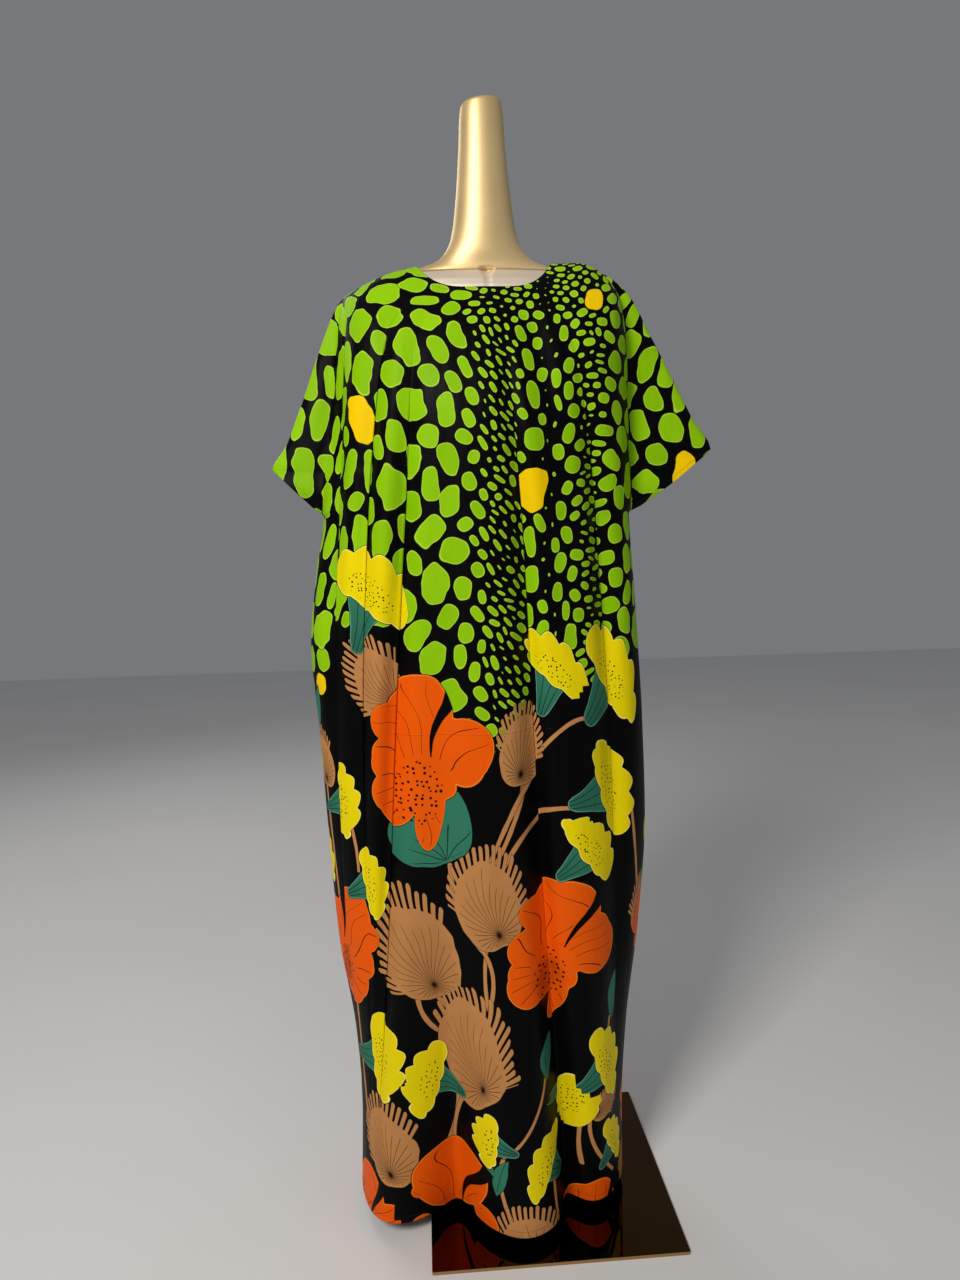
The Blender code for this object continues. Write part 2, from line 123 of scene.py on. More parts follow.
# The folds, in mm, with a value at each of five rings: where a fold runs, how far its crest stands out (in
# if below 0), its half width, how far it slips sideways, and half the cloth that it swallows. over names
# the side whose cloth lies on top where a fold doubles over.
foldRings = ("neckline", "shoulderPoint", "underarm", "knee", "hem")
Fold = namedtuple("Fold", "x out wide lean tuck over", defaults=((0,) * 5, (0,) * 5, ""))
frontFolds = [
    Fold((-95, -208, -236, -251, -222), (0, -5, -16, -5, 0), (14, 14, 16, 18, 16),
         (0, -5, -10, -2, 0), (0, 4, 9, 4, 0), "right"),
    Fold((-72, -150, -193, -214, -213), (0, -5, -14, -7, 0), (13, 13, 15, 16, 14),
         (0, 0, -3, 0, 0), (0, 2, 7, 3, 0), "left"),
    Fold((-50, -112, -135, -170, -208), (0, -4, -16, -21, 0), (14, 14, 15, 17, 14),
         (0, 0, -4, -8, 0), (0, 1, 7, 8, 0), "left"),
    Fold((-80, -130, -162, -178, -190), (0, 0, 3, 6, 26), (30, 30, 30, 30, 40)),
    Fold((-28, -58, -78, -92, -94), (0, 0, -2, -8, -52), (26, 28, 30, 32, 38)),
    Fold((0, -10, -25, -22, 16), (0, 2, 5, 8, 37), (30, 45, 50, 55, 58)),
    Fold((14, 18, 30, 45, 94), (0, -5, -16, -24, -40), (13, 14, 15, 17, 22),
         (0, 0, 4, 8, 4), (0, 0, 4, 5, 0), "left"),
    Fold((40, 66, 88, 105, 150), (0, -12, -6, 10, 6), (20, 26, 28, 36, 32)),
    Fold((80, 112, 152, 172, 172), (0, -6, -20, -10, 0), (16, 19, 21, 20, 16),
         (0, 3, 7, 2, 0), (0, 1, 5, 2, 0), "left"),
]
backFolds = [
    Fold((-85, -180, -210, -222, -212), (0, -6, -18, -12, -6), (16, 18, 20, 20, 16),
         (0, 2, 6, 2, 0), (0, 3, 8, 3, 0), "right"),
    Fold((-70, -120, -138, -150, -148), (0, 0, 5, 10, 16), (30, 30, 34, 36, 36)),
    Fold((-35, -70, -86, -98, -90), (0, -2, -11, -22, -44), (18, 18, 20, 23, 26),
         (0, 0, -4, -6, 0), (0, 0, 5, 6, 0), "left"),
    Fold((0, -10, -14, -22, -26), (0, 0, 6, 12, 26), (30, 40, 44, 42, 40)),
    Fold((30, 58, 60, 50, 46), (0, -2, -13, -24, -44), (16, 18, 20, 23, 26),
         (0, 0, 4, 7, 0), (0, 0, 4, 5, 0), "right"),
    Fold((65, 108, 115, 115, 110), (0, 0, 6, 10, 18), (30, 30, 34, 34, 32)),
    Fold((82, 160, 172, 174, 160), (0, -6, -18, -16, -10), (16, 18, 20, 20, 16),
         (0, -2, -6, -2, 0), (0, 3, 7, 4, 0), "left"),
]


def smoothThrough(stations, values, at):
    # a smooth curve through the values with no overshoot, read at the points at
    x, y = np.asarray(stations, float), np.asarray(values, float)
    step, slope = np.diff(x), np.diff(y) / np.diff(x)
    tangent = np.zeros_like(y)
    tangent[0], tangent[-1] = slope[0], slope[-1]
    for i in range(1, len(x) - 1):
        if slope[i - 1] * slope[i] > 0:
            before, after = 2 * step[i] + step[i - 1], step[i] + 2 * step[i - 1]
            tangent[i] = (before + after) / (before / slope[i - 1] + after / slope[i])
    at = np.clip(at, x[0], x[-1])
    i = np.clip(np.searchsorted(x, at, side="right") - 1, 0, len(x) - 2)
    u = (at - x[i]) / step[i]
    return ((2 * u**3 - 3 * u**2 + 1) * y[i] + (u**3 - 2 * u**2 + u) * step[i] * tangent[i]
            + (3 * u**2 - 2 * u**3) * y[i + 1] + (u**3 - u**2) * step[i] * tangent[i + 1])


def findRingPlaces():
    # how far down the robe each ring lies, the mean of the ways down the left edge and the front
    rows, places = list(rings.values()), [0.0]
    for above, below in zip(rows, rows[1:]):
        downEdge = math.dist((above.left, above.leftZ), (below.left, below.leftZ))
        downFront = math.dist((above.front, above.frontZ), (below.front, below.frontZ))
        places.append(places[-1] + (downEdge + downFront) / 2)
    return dict(zip(rings, places))


ringPlaces = findRingPlaces()
lastPlace = ringPlaces["hem"]


def rowPlaces():
    # rows on every ring and closer together beside the neckline and the hem
    stops, rows = list(ringPlaces.values()), []
    for above, below in zip(stops, stops[1:]):
        steps = max(2, round((below - above) / robe["rowStep"]))
        rows += [above + (below - above) * k / steps for k in range(steps)]
    extra = [share * robe["hemTurn"] for share in robe["hemRows"]]
    rows += extra + [lastPlace - e for e in extra] + [lastPlace]
    rows = sorted(rows)
    kept = [rows[0]]
    for row in rows[1:]:
        if row - kept[-1] > robe["rowGap"]:
            kept.append(row)
    return np.array(kept)


def ringsAt(places):
    stations = list(ringPlaces.values())
    return Ring(*(smoothThrough(stations, column, places)[:, None] for column in zip(*rings.values())))


def bareCloth(ring, turn, side):
    # the cloth with no folds, at angles turn from the centre line, side -1 the front and +1 the back
    x = ring.left + (ring.right - ring.left) * (1 + np.sin(turn)) / 2
    reach = np.where(x < ring.axis, np.minimum(ring.body, ring.axis - ring.left),
                     np.minimum(ring.body, ring.right - ring.axis))
    share = np.clip(np.abs(x - ring.axis) / reach, 0, 1)
    deep, centreZ = (ring.front, ring.frontZ) if side < 0 else (ring.back, ring.backZ)
    square = robe["squareness"]
    trunk = deep * (1 - share**square) ** (1 / square)
    slab = ((ring.sleeve * np.abs(np.cos(turn)) ** robe["edgeRoundness"]) ** 4 + ring.mouth**4) ** 0.25
    edgeZ = np.where(turn < 0, ring.leftZ, ring.rightZ)
    climb = np.abs(np.sin(turn)) ** ring.rise
    return np.stack([x, side * np.cbrt(trunk**3 + slab**3), centreZ + (edgeZ - centreZ) * climb], axis=2)


def outward(grid, side):
    # unit normals pointing away from the wearer, the mean of the faces around each point
    faces = np.cross(grid[1:, 1:] - grid[:-1, :-1], grid[1:, :-1] - grid[:-1, 1:]) * side
    faces = np.pad(faces, ((1, 1), (1, 1), (0, 0)))
    normal = faces[1:, 1:] + faces[1:, :-1] + faces[:-1, 1:] + faces[:-1, :-1]
    return normal / np.maximum(np.linalg.norm(normal, axis=2, keepdims=True), 1e-12)


def runningLength(grid):
    steps = np.linalg.norm(np.diff(grid, axis=1), axis=2)
    return np.pad(np.cumsum(steps, axis=1), ((0, 0), (1, 0)))


def runDown(line):
    # how far along a line of points each of them lies
    return np.concatenate([[0], np.cumsum(np.linalg.norm(np.diff(line, axis=0), axis=1))])


def readAlong(at, run, values):
    # values at the points of a line, read part of the way along it
    return [np.interp(at, run, column) for column in values.T]


def grainOf(grid, normal, side):
    # Flat places on the cloth, across from the centre line and down from the neckline. The warp hangs
    # straight down, so at each point it runs along the steepest way down the surface.
    fall = np.zeros_like(normal)
    fall[..., 2] = -1
    fall -= normal * (fall * normal).sum(axis=2, keepdims=True)
    fall /= np.maximum(np.linalg.norm(fall, axis=2, keepdims=True), 1e-9)
    weft = np.cross(normal, fall) * -side
    step = np.diff(grid, axis=1)
    midFall, midWeft = (fall[:, 1:] + fall[:, :-1]) / 2, (weft[:, 1:] + weft[:, :-1]) / 2
    across = np.pad(np.cumsum((step * midWeft).sum(axis=2), axis=1), ((0, 0), (1, 0)))
    down = np.pad(np.cumsum((step * midFall).sum(axis=2), axis=1), ((0, 0), (1, 0)))
    centre = [[np.interp(0, row[:, 0], values) for values in (a, d, row[:, 1], row[:, 2])]
              for row, a, d in zip(grid, across, down)]
    across0, down0, y0, z0 = np.array(centre).T
    fallen = np.concatenate([[0], np.cumsum(np.hypot(np.diff(y0), np.diff(z0)))])
    return across - across0[:, None], down - down0[:, None] + fallen[:, None]


def softStep(x):
    return (1 + np.tanh(x)) / 2


def drape(side, folds):
    # The hung panel as a grid of points, rows down and columns across, with its flat places. The columns
    # follow the folds that go in, and lie closer together beside them.
    places = rowPlaces()
    fine = np.linspace(-math.pi / 2, math.pi / 2, robe["fineSteps"])
    bare = bareCloth(ringsAt(places), fine[None, :], side)
    normal = outward(bare, side)
    along = runningLength(bare)
    across, down = grainOf(bare, normal, side)
    stations = [ringPlaces[name] for name in foldRings]
    sizes = [{part: smoothThrough(stations, np.array(getattr(fold, part)) / 1000, places)
              for part in ("x", "out", "wide", "lean", "tuck")} for fold in folds]
    guides = [i for i, fold in enumerate(folds) if min(fold.out) < 0]

    middles = np.array([[np.interp(size["x"][r], bare[r, :, 0], along[r]) for size in sizes]
                        for r in range(len(places))])
    tucks = np.array([size["tuck"] for size in sizes]).T
    swallowed = np.cumsum(2 * tucks, axis=1)
    flatMiddles = middles + swallowed - tucks
    flatEnds = along[:, -1] + swallowed[:, -1]
    ends = np.column_stack([np.zeros(len(places)), flatMiddles[:, guides], flatEnds])
    mean = np.diff(ends, axis=1).mean(axis=0)
    cuts = np.round(np.concatenate([[0], np.cumsum(mean)]) / mean.sum() * robe["columns"]).astype(int)

    points, flats = [], []
    for r in range(len(places)):
        stops = []
        for start, end, count in zip(ends[r], ends[r, 1:], np.diff(cuts)):
            share = np.arange(count) / count
            eased = share - robe["crowding"] * np.sin(2 * math.pi * share) / (2 * math.pi)
            stops += list(start + (end - start) * eased)
        flat = np.array(stops + [ends[r, -1]])
        hung = flat.copy()
        for i, size in enumerate(sizes):
            if folds[i].over:
                tight = size["wide"][r] * robe["tightness"]
                hung -= tucks[r, i] * (1 + np.tanh((flat - flatMiddles[r, i]) / tight))
        edge = np.minimum(flat, flat[-1] - flat)
        hung = np.clip(hung, 0, along[r, -1])
        read = lambda values: np.interp(hung, along[r], values)
        point = np.stack([read(bare[r, :, k]) for k in range(3)], axis=1)
        face = np.stack([read(normal[r, :, k]) for k in range(3)], axis=1)
        face /= np.linalg.norm(face, axis=1, keepdims=True)
        toSeam = np.clip(edge / robe["calm"], 0, 1)
        calm = toSeam**2 * (3 - 2 * toSeam)
        push, slip = np.zeros(len(flat)), np.zeros(len(flat))
        for i, size in enumerate(sizes):
            near = np.exp(-(((point[:, 0] - size["x"][r]) / size["wide"][r]) ** 2))
            push += size["out"][r] * near
            slip += size["lean"][r] * near
            if folds[i].over:
                way = flat - flatMiddles[r, i]
                way = way if folds[i].over == "left" else -way
                step = softStep(way / (size["wide"][r] * robe["tightness"]))
                sink, rise = robe["sink"]
                push -= sink * tucks[r, i] * step * np.exp(-np.maximum(way, 0) / rise)
        weft = np.gradient(point, axis=0)
        weft /= np.maximum(np.linalg.norm(weft, axis=1, keepdims=True), 1e-9)
        weft = np.where(weft[:, :1] < 0, -weft, weft)
        points.append(point + face * (push * calm)[:, None] + weft * (slip * calm)[:, None])
        hidden = flat - hung
        hidden -= np.interp(0, point[:, 0], hidden)
        flats.append(np.stack([read(across[r]) + hidden, read(down[r])], axis=1))
    points, flats = np.array(points), np.array(flats)
    points[:, 0, 1] += side * robe["seamGap"] / 2
    points[:, -1, 1] += side * robe["seamGap"] / 2
    return points, flats


def layGrid(bm, points):
    # a grid of faces with a corner on every point, and which row and column each corner is
    rows, columns = points.shape[:2]
    bmesh.ops.create_grid(bm, x_segments=columns - 1, y_segments=rows - 1, size=1)
    corners = {vert: (round((1 - vert.co.y) / 2 * (rows - 1)), round((1 + vert.co.x) / 2 * (columns - 1)))
               for vert in bm.verts}
    for vert, corner in corners.items():
        vert.co = points[corner]
    return corners


def finishPiece(name, bm, smooth=True):
    mesh = bpy.data.meshes.new(name)
    bm.to_mesh(mesh)
    bm.free()
    if smooth:
        mesh.shade_smooth()
    piece = bpy.data.objects.new(name, mesh)
    bpy.context.scene.collection.objects.link(piece)
    return piece


def clothPanel(name, side, folds):
    points, flats = drape(side, folds)
    bm = bmesh.new()
    flatMap = bm.loops.layers.uv.new("flat")
    corners = layGrid(bm, points)
    for face in bm.faces:
        for loop in face.loops:
            loop[flatMap].uv = flats[corners[loop.vert]]
    if side > 0:
        bmesh.ops.reverse_faces(bm, faces=bm.faces)
    return finishPiece(name, bm), points


frontCloth, frontPoints = clothPanel("front_cloth", -1, frontFolds)
backCloth, backPoints = clothPanel("back_cloth", 1, backFolds)
print("cloth draped:", [len(cloth.data.polygons) for cloth in (frontCloth, backCloth)], "faces")


# The finishes. A Wire is a shader socket that sums and products can be written with.
class Wire:
    def __init__(self, finish, socket):
        self.finish, self.socket = finish, socket

    def __add__(self, other):
        return self.finish.maths("ADD", self, other)

    def __sub__(self, other):
        return self.finish.maths("SUBTRACT", self, other)

    def __rsub__(self, other):
        return self.finish.maths("SUBTRACT", other, self)

    def __mul__(self, other):
        return self.finish.maths("MULTIPLY", self, other)

    def __truediv__(self, other):
        return self.finish.maths("DIVIDE", self, other)

    def __rtruediv__(self, other):
        return self.finish.maths("DIVIDE", other, self)

    def __pow__(self, other):
        return self.finish.maths("POWER", self, other)

    def __abs__(self):
        return self.finish.maths("ABSOLUTE", self)

    __radd__, __rmul__ = __add__, __mul__


class Finish:
    # a material in the making
    def __init__(self, name):
        self.material = bpy.data.materials.new(name)
        self.material.use_nodes = True
        self.tree = self.material.node_tree
        self.tree.nodes.clear()

    def node(self, kind, settings=None, values=None, output=0):
        made = self.tree.nodes.new("ShaderNode" + kind)
        for name, value in (settings or {}).items():
            setattr(made, name, value)
        for name, value in (values or {}).items():
            if isinstance(value, Wire):
                self.tree.links.new(value.socket, made.inputs[name])
            else:
                made.inputs[name].default_value = value
        return Wire(self, made.outputs[output])

    def maths(self, operation, *values):
        return self.node("Math", {"operation": operation}, dict(enumerate(values)))

    def most(self, first, *others):
        for other in others:
            first = self.maths("MAXIMUM", first, other)
        return first

    def root(self, value):
        return self.maths("SQRT", value)

    def below(self, value, edge, blur=0.0004):
        # 1 where value is under edge and 0 over it, with a soft change blur wide
        start, end = edge + blur / 2, edge - blur / 2
        return self.node("MapRange", None, {0: value, 1: start, 2: end, 3: 0.0, 4: 1.0})

    def mix(self, share, first, second):
        return self.node("Mix", {"data_type": "RGBA"}, {0: share, 6: first, 7: second}, 2)

    def shade(self, colour, lighter):
        # a colour made lighter or darker by a number
        return self.node("VectorMath", {"operation": "SCALE"}, {0: colour, 3: lighter})

    def place(self, stretch=None):
        # places on the piece itself, shrunk by stretch
        place = self.node("TexCoord", output=3)
        return self.node("Mapping", None, {"Vector": place, "Scale": stretch}) if stretch else place

    def vector(self, x, y):
        return self.node("CombineXYZ", None, {0: x, 1: y})

    def parts(self, vector, *which):
        return [self.node("SeparateXYZ", None, {0: vector}, k) for k in which]

    def noise(self, place, scale, detail=2.0, kind="3D"):
        values = {"Vector": place, "Scale": scale, "Detail": detail}
        return self.node("TexNoise", {"noise_dimensions": kind}, values)

    def bump(self, height, distance, strength, under=None):
        values = {"Height": height, "Distance": distance, "Strength": strength}
        if under:
            values["Normal"] = under
        return self.node("Bump", None, values)

    def close(self, values):
        shader = self.node("BsdfPrincipled", None, values)
        end = self.tree.nodes.new("ShaderNodeOutputMaterial")
        self.tree.links.new(shader.socket, end.inputs["Surface"])
        return self.material


def ink(red, green, blue):
    # a screen colour of 0 to 255 as a linear one
    steps = [value / 255 for value in (red, green, blue)]
    linear = [step / 12.92 if step < 0.04045 else ((step + 0.055) / 1.055) ** 2.4 for step in steps]
    return (*linear, 1.0)


gold = {
    "colour": ink(234, 208, 156),
    "deepColour": ink(212, 180, 122),
    "roughness": 0.48,
    "paintedHighlightColour": ink(250, 238, 224),  # painted highlight on the band below the collar's crease, standing in for light falling on it from above
    # painted shade in the collar's crease
    "paintedShadeColour": ink(140, 104, 60),
    "crease": 1.4800,  # its height
    "paintedLightShare": 0.7,  # how strongly the painted highlight and the painted shade show
}


def goldLacquer():
    finish = Finish("gold_lacquer")
    place = finish.place()
    cloudy = finish.noise(place, 6.0, 3.0)
    grain = finish.noise(place, 900.0)
    colour = finish.mix(finish.below(cloudy, 0.5, 0.5), gold["colour"], gold["deepColour"])
    height, = finish.parts(place, 2)
    # painted highlight: the band below the crease is painted paler, as light from above would show it
    pale = finish.below(height, gold["crease"] - 0.002, 0.002)
    colour = finish.mix(pale * gold["paintedLightShare"], colour, gold["paintedHighlightColour"])
    # painted shade: the crease is painted darker, as the shade in it would show it
    crease = finish.below(abs(height - gold["crease"]), 0.001, 0.002)
    return finish.close({
        "Base Color": finish.mix(crease * gold["paintedLightShare"], colour, gold["paintedShadeColour"]),
        "Metallic": 0.62,
        "Roughness": gold["roughness"] + (cloudy - 0.5) * 0.12 + (grain - 0.5) * 0.08,
        "Coat Weight": 0.1,
        "Coat Roughness": 0.5,
        "Normal": finish.bump(grain, 0.0002, 0.35),
    })


def polishedSteel():
    finish = Finish("polished_steel")
    streaks = finish.noise(finish.place((1.0, 1.0, 0.02)), 700.0, 3.0)
    cloudy = finish.noise(finish.place(), 14.0, 3.0)
    return finish.close({
        "Base Color": finish.mix(finish.below(streaks, 0.5, 0.6), ink(206, 208, 210), ink(176, 178, 182)),
        "Metallic": 1.0,
        "Roughness": 0.16 + (streaks - 0.5) * 0.12 + (cloudy - 0.5) * 0.1,
        "Normal": finish.bump(streaks, 0.0001, 0.3),
    })


plate = {
    "side": 0.388,
    "thick": 0.006,
    "corner": 0.003,
    "shift": 0.064,  # the plate's middle lies this far to the pole's right
    "edgeBevel": 0.0009,
    "edgeColour": ink(176, 140, 96),
    "faceColours": (ink(84, 58, 28), ink(66, 44, 20)),
    "dustColour": ink(150, 128, 104),
}


def bronzeMirror():
    finish = Finish("bronze_mirror")
    place = finish.place()
    cloudy = finish.noise(place, 5.0, 3.0)
    smears = finish.noise(finish.place((1.0, 0.3, 1.0)), 26.0, 4.0)
    specks = finish.below(finish.noise(place, 420.0), 0.26, 0.03) * 0.4
    height, = finish.parts(place, 2)
    edge = finish.below(height, plate["thick"] - 0.0007)
    face = finish.mix(finish.below(cloudy, 0.5, 0.5), *plate["faceColours"])
    return finish.close({
        "Base Color": finish.mix(edge, finish.mix(specks, face, plate["dustColour"]), plate["edgeColour"]),
        "Metallic": 1.0,
        "Roughness": 0.05 + (smears - 0.5) * 0.05 + specks * 0.3 + edge * 0.16,
        "Normal": finish.bump(cloudy, 0.0006, 0.08),
    })


# The print's layout, in flat places on the cloth in cm: across from the centre line, to the right as seen
# from in front, and down from the neckline at the centre.
# A motif is across, down, turn, size, kind and flip. turn is where its top points, in degrees clockwise
# from up, and flip is -1 where it is mirrored. A blossom and a poppy are placed by their middles and a fan
# by its foot. A stem is across and down at its start, middle and end, and its width in mm.
Motif = namedtuple("Motif", "across down turn size kind flip", defaults=(1,))
frontPrint = {
    "blossom": [
        (-21, 45, 28, 8.8, 0), (8.8, 57.2, 12, 6.6, 0.5), (19.6, 58.8, 44, 8.2, 0.2),
        (-28, 77.4, 76, 5.8, 0.1), (-22.4, 89.4, 62, 5.2, 0.2), (18.6, 76.6, 78, 7.4, 0.1, -1),
        (14.2, 84.8, 62, 6.2, -0.15), (-36, 87, 50, 5, 0.1), (-20.2, 117.2, 76, 7, 0.1),
        (-13.2, 120.6, -62, 5.8, 0.2, -1), (16.5, 120.4, 57, 6.4, 0.2), (10.9, 126, 80, 4.8, 1.8),
        (18, 134.6, 50, 4.4, 0.2), (4.2, 133.4, -46, 4.8, 0.3, -1), (-4, 129, -74, 4, 0.2, -1),
        (31, 88, 50, 5.4, 0.1), (-32, 122, 40, 5, 0.3), (28, 112, -40, 5.4, 0.3, -1),
        (-40, 70, 20, 4.4, 0.2),
    ],
    "poppy": [
        (-12.4, 73.2, -2, 9.3, 0.2), (7.6, 102.8, 8, 8.4, 1.3), (-30.4, 103, 24, 7.6, 1.6, -1),
        (-9.4, 146.8, -4, 9, 2.6), (-22.6, 147.6, -12, 6.6, 1.8), (13.8, 150.4, -4, 6.4, 1.5),
        (29, 134, -20, 6.6, 0.4), (30.6, 103, -30, 5.6, 1.4),
    ],
    "fan": [
        (-16.6, 61.8, -50, 11.4, 0.4), (2.6, 72.8, 6, 9.6, 0.6), (-1.6, 96.6, -13, 12.4, 0.6),
        (-11.8, 105.4, -26, 14.6, 0.2), (-4.2, 121, -10, 15.5, 0.9), (-18.4, 135.6, -16, 11, 0.3),
        (1.6, 150.4, 0, 10.8, 0.5), (25.6, 100.5, 10, 8.6, 0.4), (-34, 74.6, -20, 7.4, 0.2),
        (22.4, 146, 10, 7.6, 0.7), (14, 128.6, 60, 5.4, 0.5),
    ],
    "leaf": [
        (5.2, 117.6, 4, 3.4, 0.1), (18, 110, 8, 4, 0.4), (-36, 64, 10, 4.4, 0.7),
        (-4.4, 131.4, -10, 3.4, 0.8), (-2.4, 134.4, 16, 3.2, 0.2), (-28, 96, -8, 4, 0.6),
    ],
}
frontStems = {
    "stems_over": [
        (14, 65.2, 6.2, 69.6, -3.2, 87, 7.5), (10.6, 78.2, 4.2, 80.2, -1.4, 88, 7.5),
        (-8.5, 86.2, -7.2, 93.6, -4, 99, 8.1), (-4, 99, -2.6, 103, -3.2, 108, 6.4),
        (-12.2, 105.6, -10.4, 108.4, -8.6, 110.6, 7.5), (-5.6, 120.6, -8.6, 126.6, -9.6, 133, 7.5),
        (5.2, 118, 3.2, 125.4, -1.7, 131, 5.2), (-1.7, 131, -2.2, 136, -0.4, 142, 6.4),
        (-26.4, 81.4, -25.7, 84.6, -25.4, 88, 5.8), (-18.2, 135.6, -16.4, 136.6, -14.2, 137, 7),
        (17.2, 113.4, 16.6, 115.4, 15.6, 117, 6.4), (11.3, 130, 11.2, 133.4, 11.6, 136.8, 7),
        (22.8, 80, 24, 90, 25.4, 100, 7), (-34, 75, -32.6, 86, -31, 96, 7),
    ],
    "stems_under": [
        (2.5, 72.8, 1.2, 79.4, -3, 88, 7.5), (-2.8, 96, -3.7, 101.6, -3.4, 108, 5.8),
        (-14, 107, -13, 110.6, -10.6, 113.6, 7.5), (-9, 116, -8.6, 125.6, -11.2, 133.4, 7.5),
        (12.8, 128.6, 13.4, 133.8, 17.2, 139.6, 7), (6.2, 129, 5.8, 135, 6.4, 143, 5.2),
        (26.4, 100.4, 25.4, 112, 26.6, 130, 7), (-27, 110, -26, 122, -23, 134, 7),
    ],
}
backPrint = {
    "blossom": [
        (-26, 50, -30, 6.8, 0.2), (-8, 58, 28, 7, 0.3), (12, 55, -40, 6.6, 0.1, -1), (26, 62, 34, 7, 0.4),
        (-15, 88, 66, 6.2, 0.2), (18, 92, -60, 6.4, 0.1), (1, 106, 30, 5.8, 0.4), (-32, 96, -20, 5.4, 0.3),
        (31, 108, 50, 6, 0.1, -1), (-20, 124, -62, 6.6, 0.3), (12, 128, 48, 5.8, 0.2),
        (-4, 136, -46, 5.2, 0.4), (27, 134, -34, 5.2, 0.1), (-33, 138, 20, 5.2, 0.3),
    ],
    "poppy": [
        (4, 80, 4, 9.2, 0.4), (-23, 72, -16, 8, 1.4, -1), (-9, 119, -10, 8.2, 1.7),
        (22, 116, 14, 7.6, 0.1, -1), (2, 149, 0, 7.2, 1.3), (-24, 150, 10, 7.2, 1.2),
        (24, 151, -12, 6.8, 1.5),
    ],
    "fan": [
        (16, 76, 26, 9.4, 0.4), (-9, 76, -16, 9, 0.7), (-27, 92, 10, 9.6, 0.2), (10, 104, -24, 11.4, 0.9),
        (28, 92, -8, 8.6, 0.6), (-16, 108, 30, 10.4, 0.3), (2, 126, 12, 10.8, 0.5),
        (-13, 142, -30, 9.6, 0.8), (16, 146, 20, 9.8, 0.1), (30, 126, 0, 8, 0.7), (-30, 120, -14, 8.8, 0.4),
    ],
    "leaf": [
        (-2, 94, 20, 4, 0.2), (24, 80, -16, 4.2, 0.6), (-24, 134, 8, 4, 0.9), (8, 138, -24, 3.8, 0.4),
        (-36, 108, 12, 3.8, 0.3),
    ],
}
backStems = {
    "stems_over": [
        (8, 88, 10.6, 96, 9.6, 104, 7.5), (16, 76, 15, 84, 11, 93, 7.5), (-27, 92, -25, 102, -19, 112, 7.5),
        (10, 104, 7, 114, 3, 126, 7.5), (-16, 108, -15, 124, -12, 142, 7), (28, 92, 30, 104, 27, 120, 7),
        (-30, 120, -28, 130, -26, 144, 7),
    ],
    "stems_under": [
        (-9, 76, -9.6, 88, -15, 106, 7.5), (2, 126, 4, 136, 2, 144, 7), (-22, 80, -24, 86, -26, 92, 7.5),
        (24, 124, 20, 136, 17, 146, 7), (30, 126, 28, 138, 25, 147, 7),
    ],
}

# The pebbles, by how far across the cloth they lie: radius in mm, how tall to wide and which way the long
# axis leans, near the neck and further down, and how far down they go. All lengths but radii are in cm.
spots = {
    "across": (-45, -32.5, -30, -16, -12, -8, -5, -3, -1.5, 1, 3.2, 3.9,
               5.2, 6.7, 7.4, 9.4, 11.2, 13, 15, 17, 19, 22, 30, 45),
    "topRadius": (16, 18, 18.5, 18, 16, 13.5, 11, 8, 6, 5, 5, 5,
                  6, 5, 4.4, 4.4, 5, 6, 7, 8, 10, 11, 14, 17),
    "topTall": (1.3, 1.2, 1.15, 0.95, 0.9, 0.8, 0.75, 0.8, 0.8, 0.7, 0.7, 0.8,
                0.9, 0.9, 0.9, 0.9, 0.9, 0.9, 0.9, 0.9, 0.9, 1, 1.2, 1.3),
    "radius": (17, 19, 20, 22, 21, 19.5, 16, 9, 5.4, 4.8, 4.8, 14,
               17, 15, 6, 10, 14, 7, 5.4, 7, 14, 19, 20, 19),
    "tall": (1.5, 1.47, 1.46, 1.4, 1.3, 1.25, 1.2, 1.4, 1.8, 2.1, 1.6, 1.4,
             1.5, 1.4, 1.4, 1.5, 1.2, 0.8, 0.6, 0.55, 0.8, 1.2, 1.35, 1.35),
    "lean": (0, 5, 6, 6, 4, 0, -8, -22, -36, -40, -30, -14,
             0, 0, 0, 0, 0, 0, 0, 0, 6, 12, 10, 0),
    "lowest": (62, 62, 50, 50, 56, 62, 68, 70, 69, 66, 62, 58,
               54, 57, 58, 60, 58, 58, 60, 60, 60, 56, 54, 52),
    "change": (2.0, 11.0),  # from the neck's sizes to the lower ones
    "box": (-43.5, 48.5, -12.5, 71.0),
    "last": 0.78,  # no pebble shows lower than this, in metres
    "gap": (4.8, 0.27),  # in mm, and as a share of the radius
    "cell": 0.0025,  # of the raster on which they settle
    "fullness": 0.95,  # how many are sown of the pebbles that would fit
    "sowing": (0.4, 1.6),  # how uneven the sowing is
    "uneven": (0.18, 0.12, 0.16),  # how much radius, height and lean vary
    "yellowTall": 1.3,
    "yellowGap": 0.006,  # the bare edge that a yellow pebble is sown with
    "settling": 7,
    "block": 0.04,  # the places in a square this wide are settled together
    "reach": (0.085, 0.03),  # how far off their pebbles are sought: at least, and past the nearest one
    "stretch": (0.72, 1.25),  # how far from its column's radius a pebble may settle
    "keeps": 0.15,  # of its old place, at each settling
    "swell": 1.82,  # half width of a settled pebble, in standard deviations of its places
    "smallest": 0.0014,
    "tallest": 3,
    "thin": (  # from, to, what share and how small
        (7.0, 9.2, 0.95, 0.24),
        (-3.0, 3.2, 0.35, 0.6),
        (12.0, 18.0, 0.25, 0.6),
    ),
}
reach = {
    "farAway": 9.0,  # the place on a motif of a face that isn't near one
    "motif": 1.5,  # how far a motif reaches, in its ovals' sizes
    "stem": 0.016,
    "stemSteps": 41,
    "batch": 1500,  # so many faces look for their pebbles at a time
}


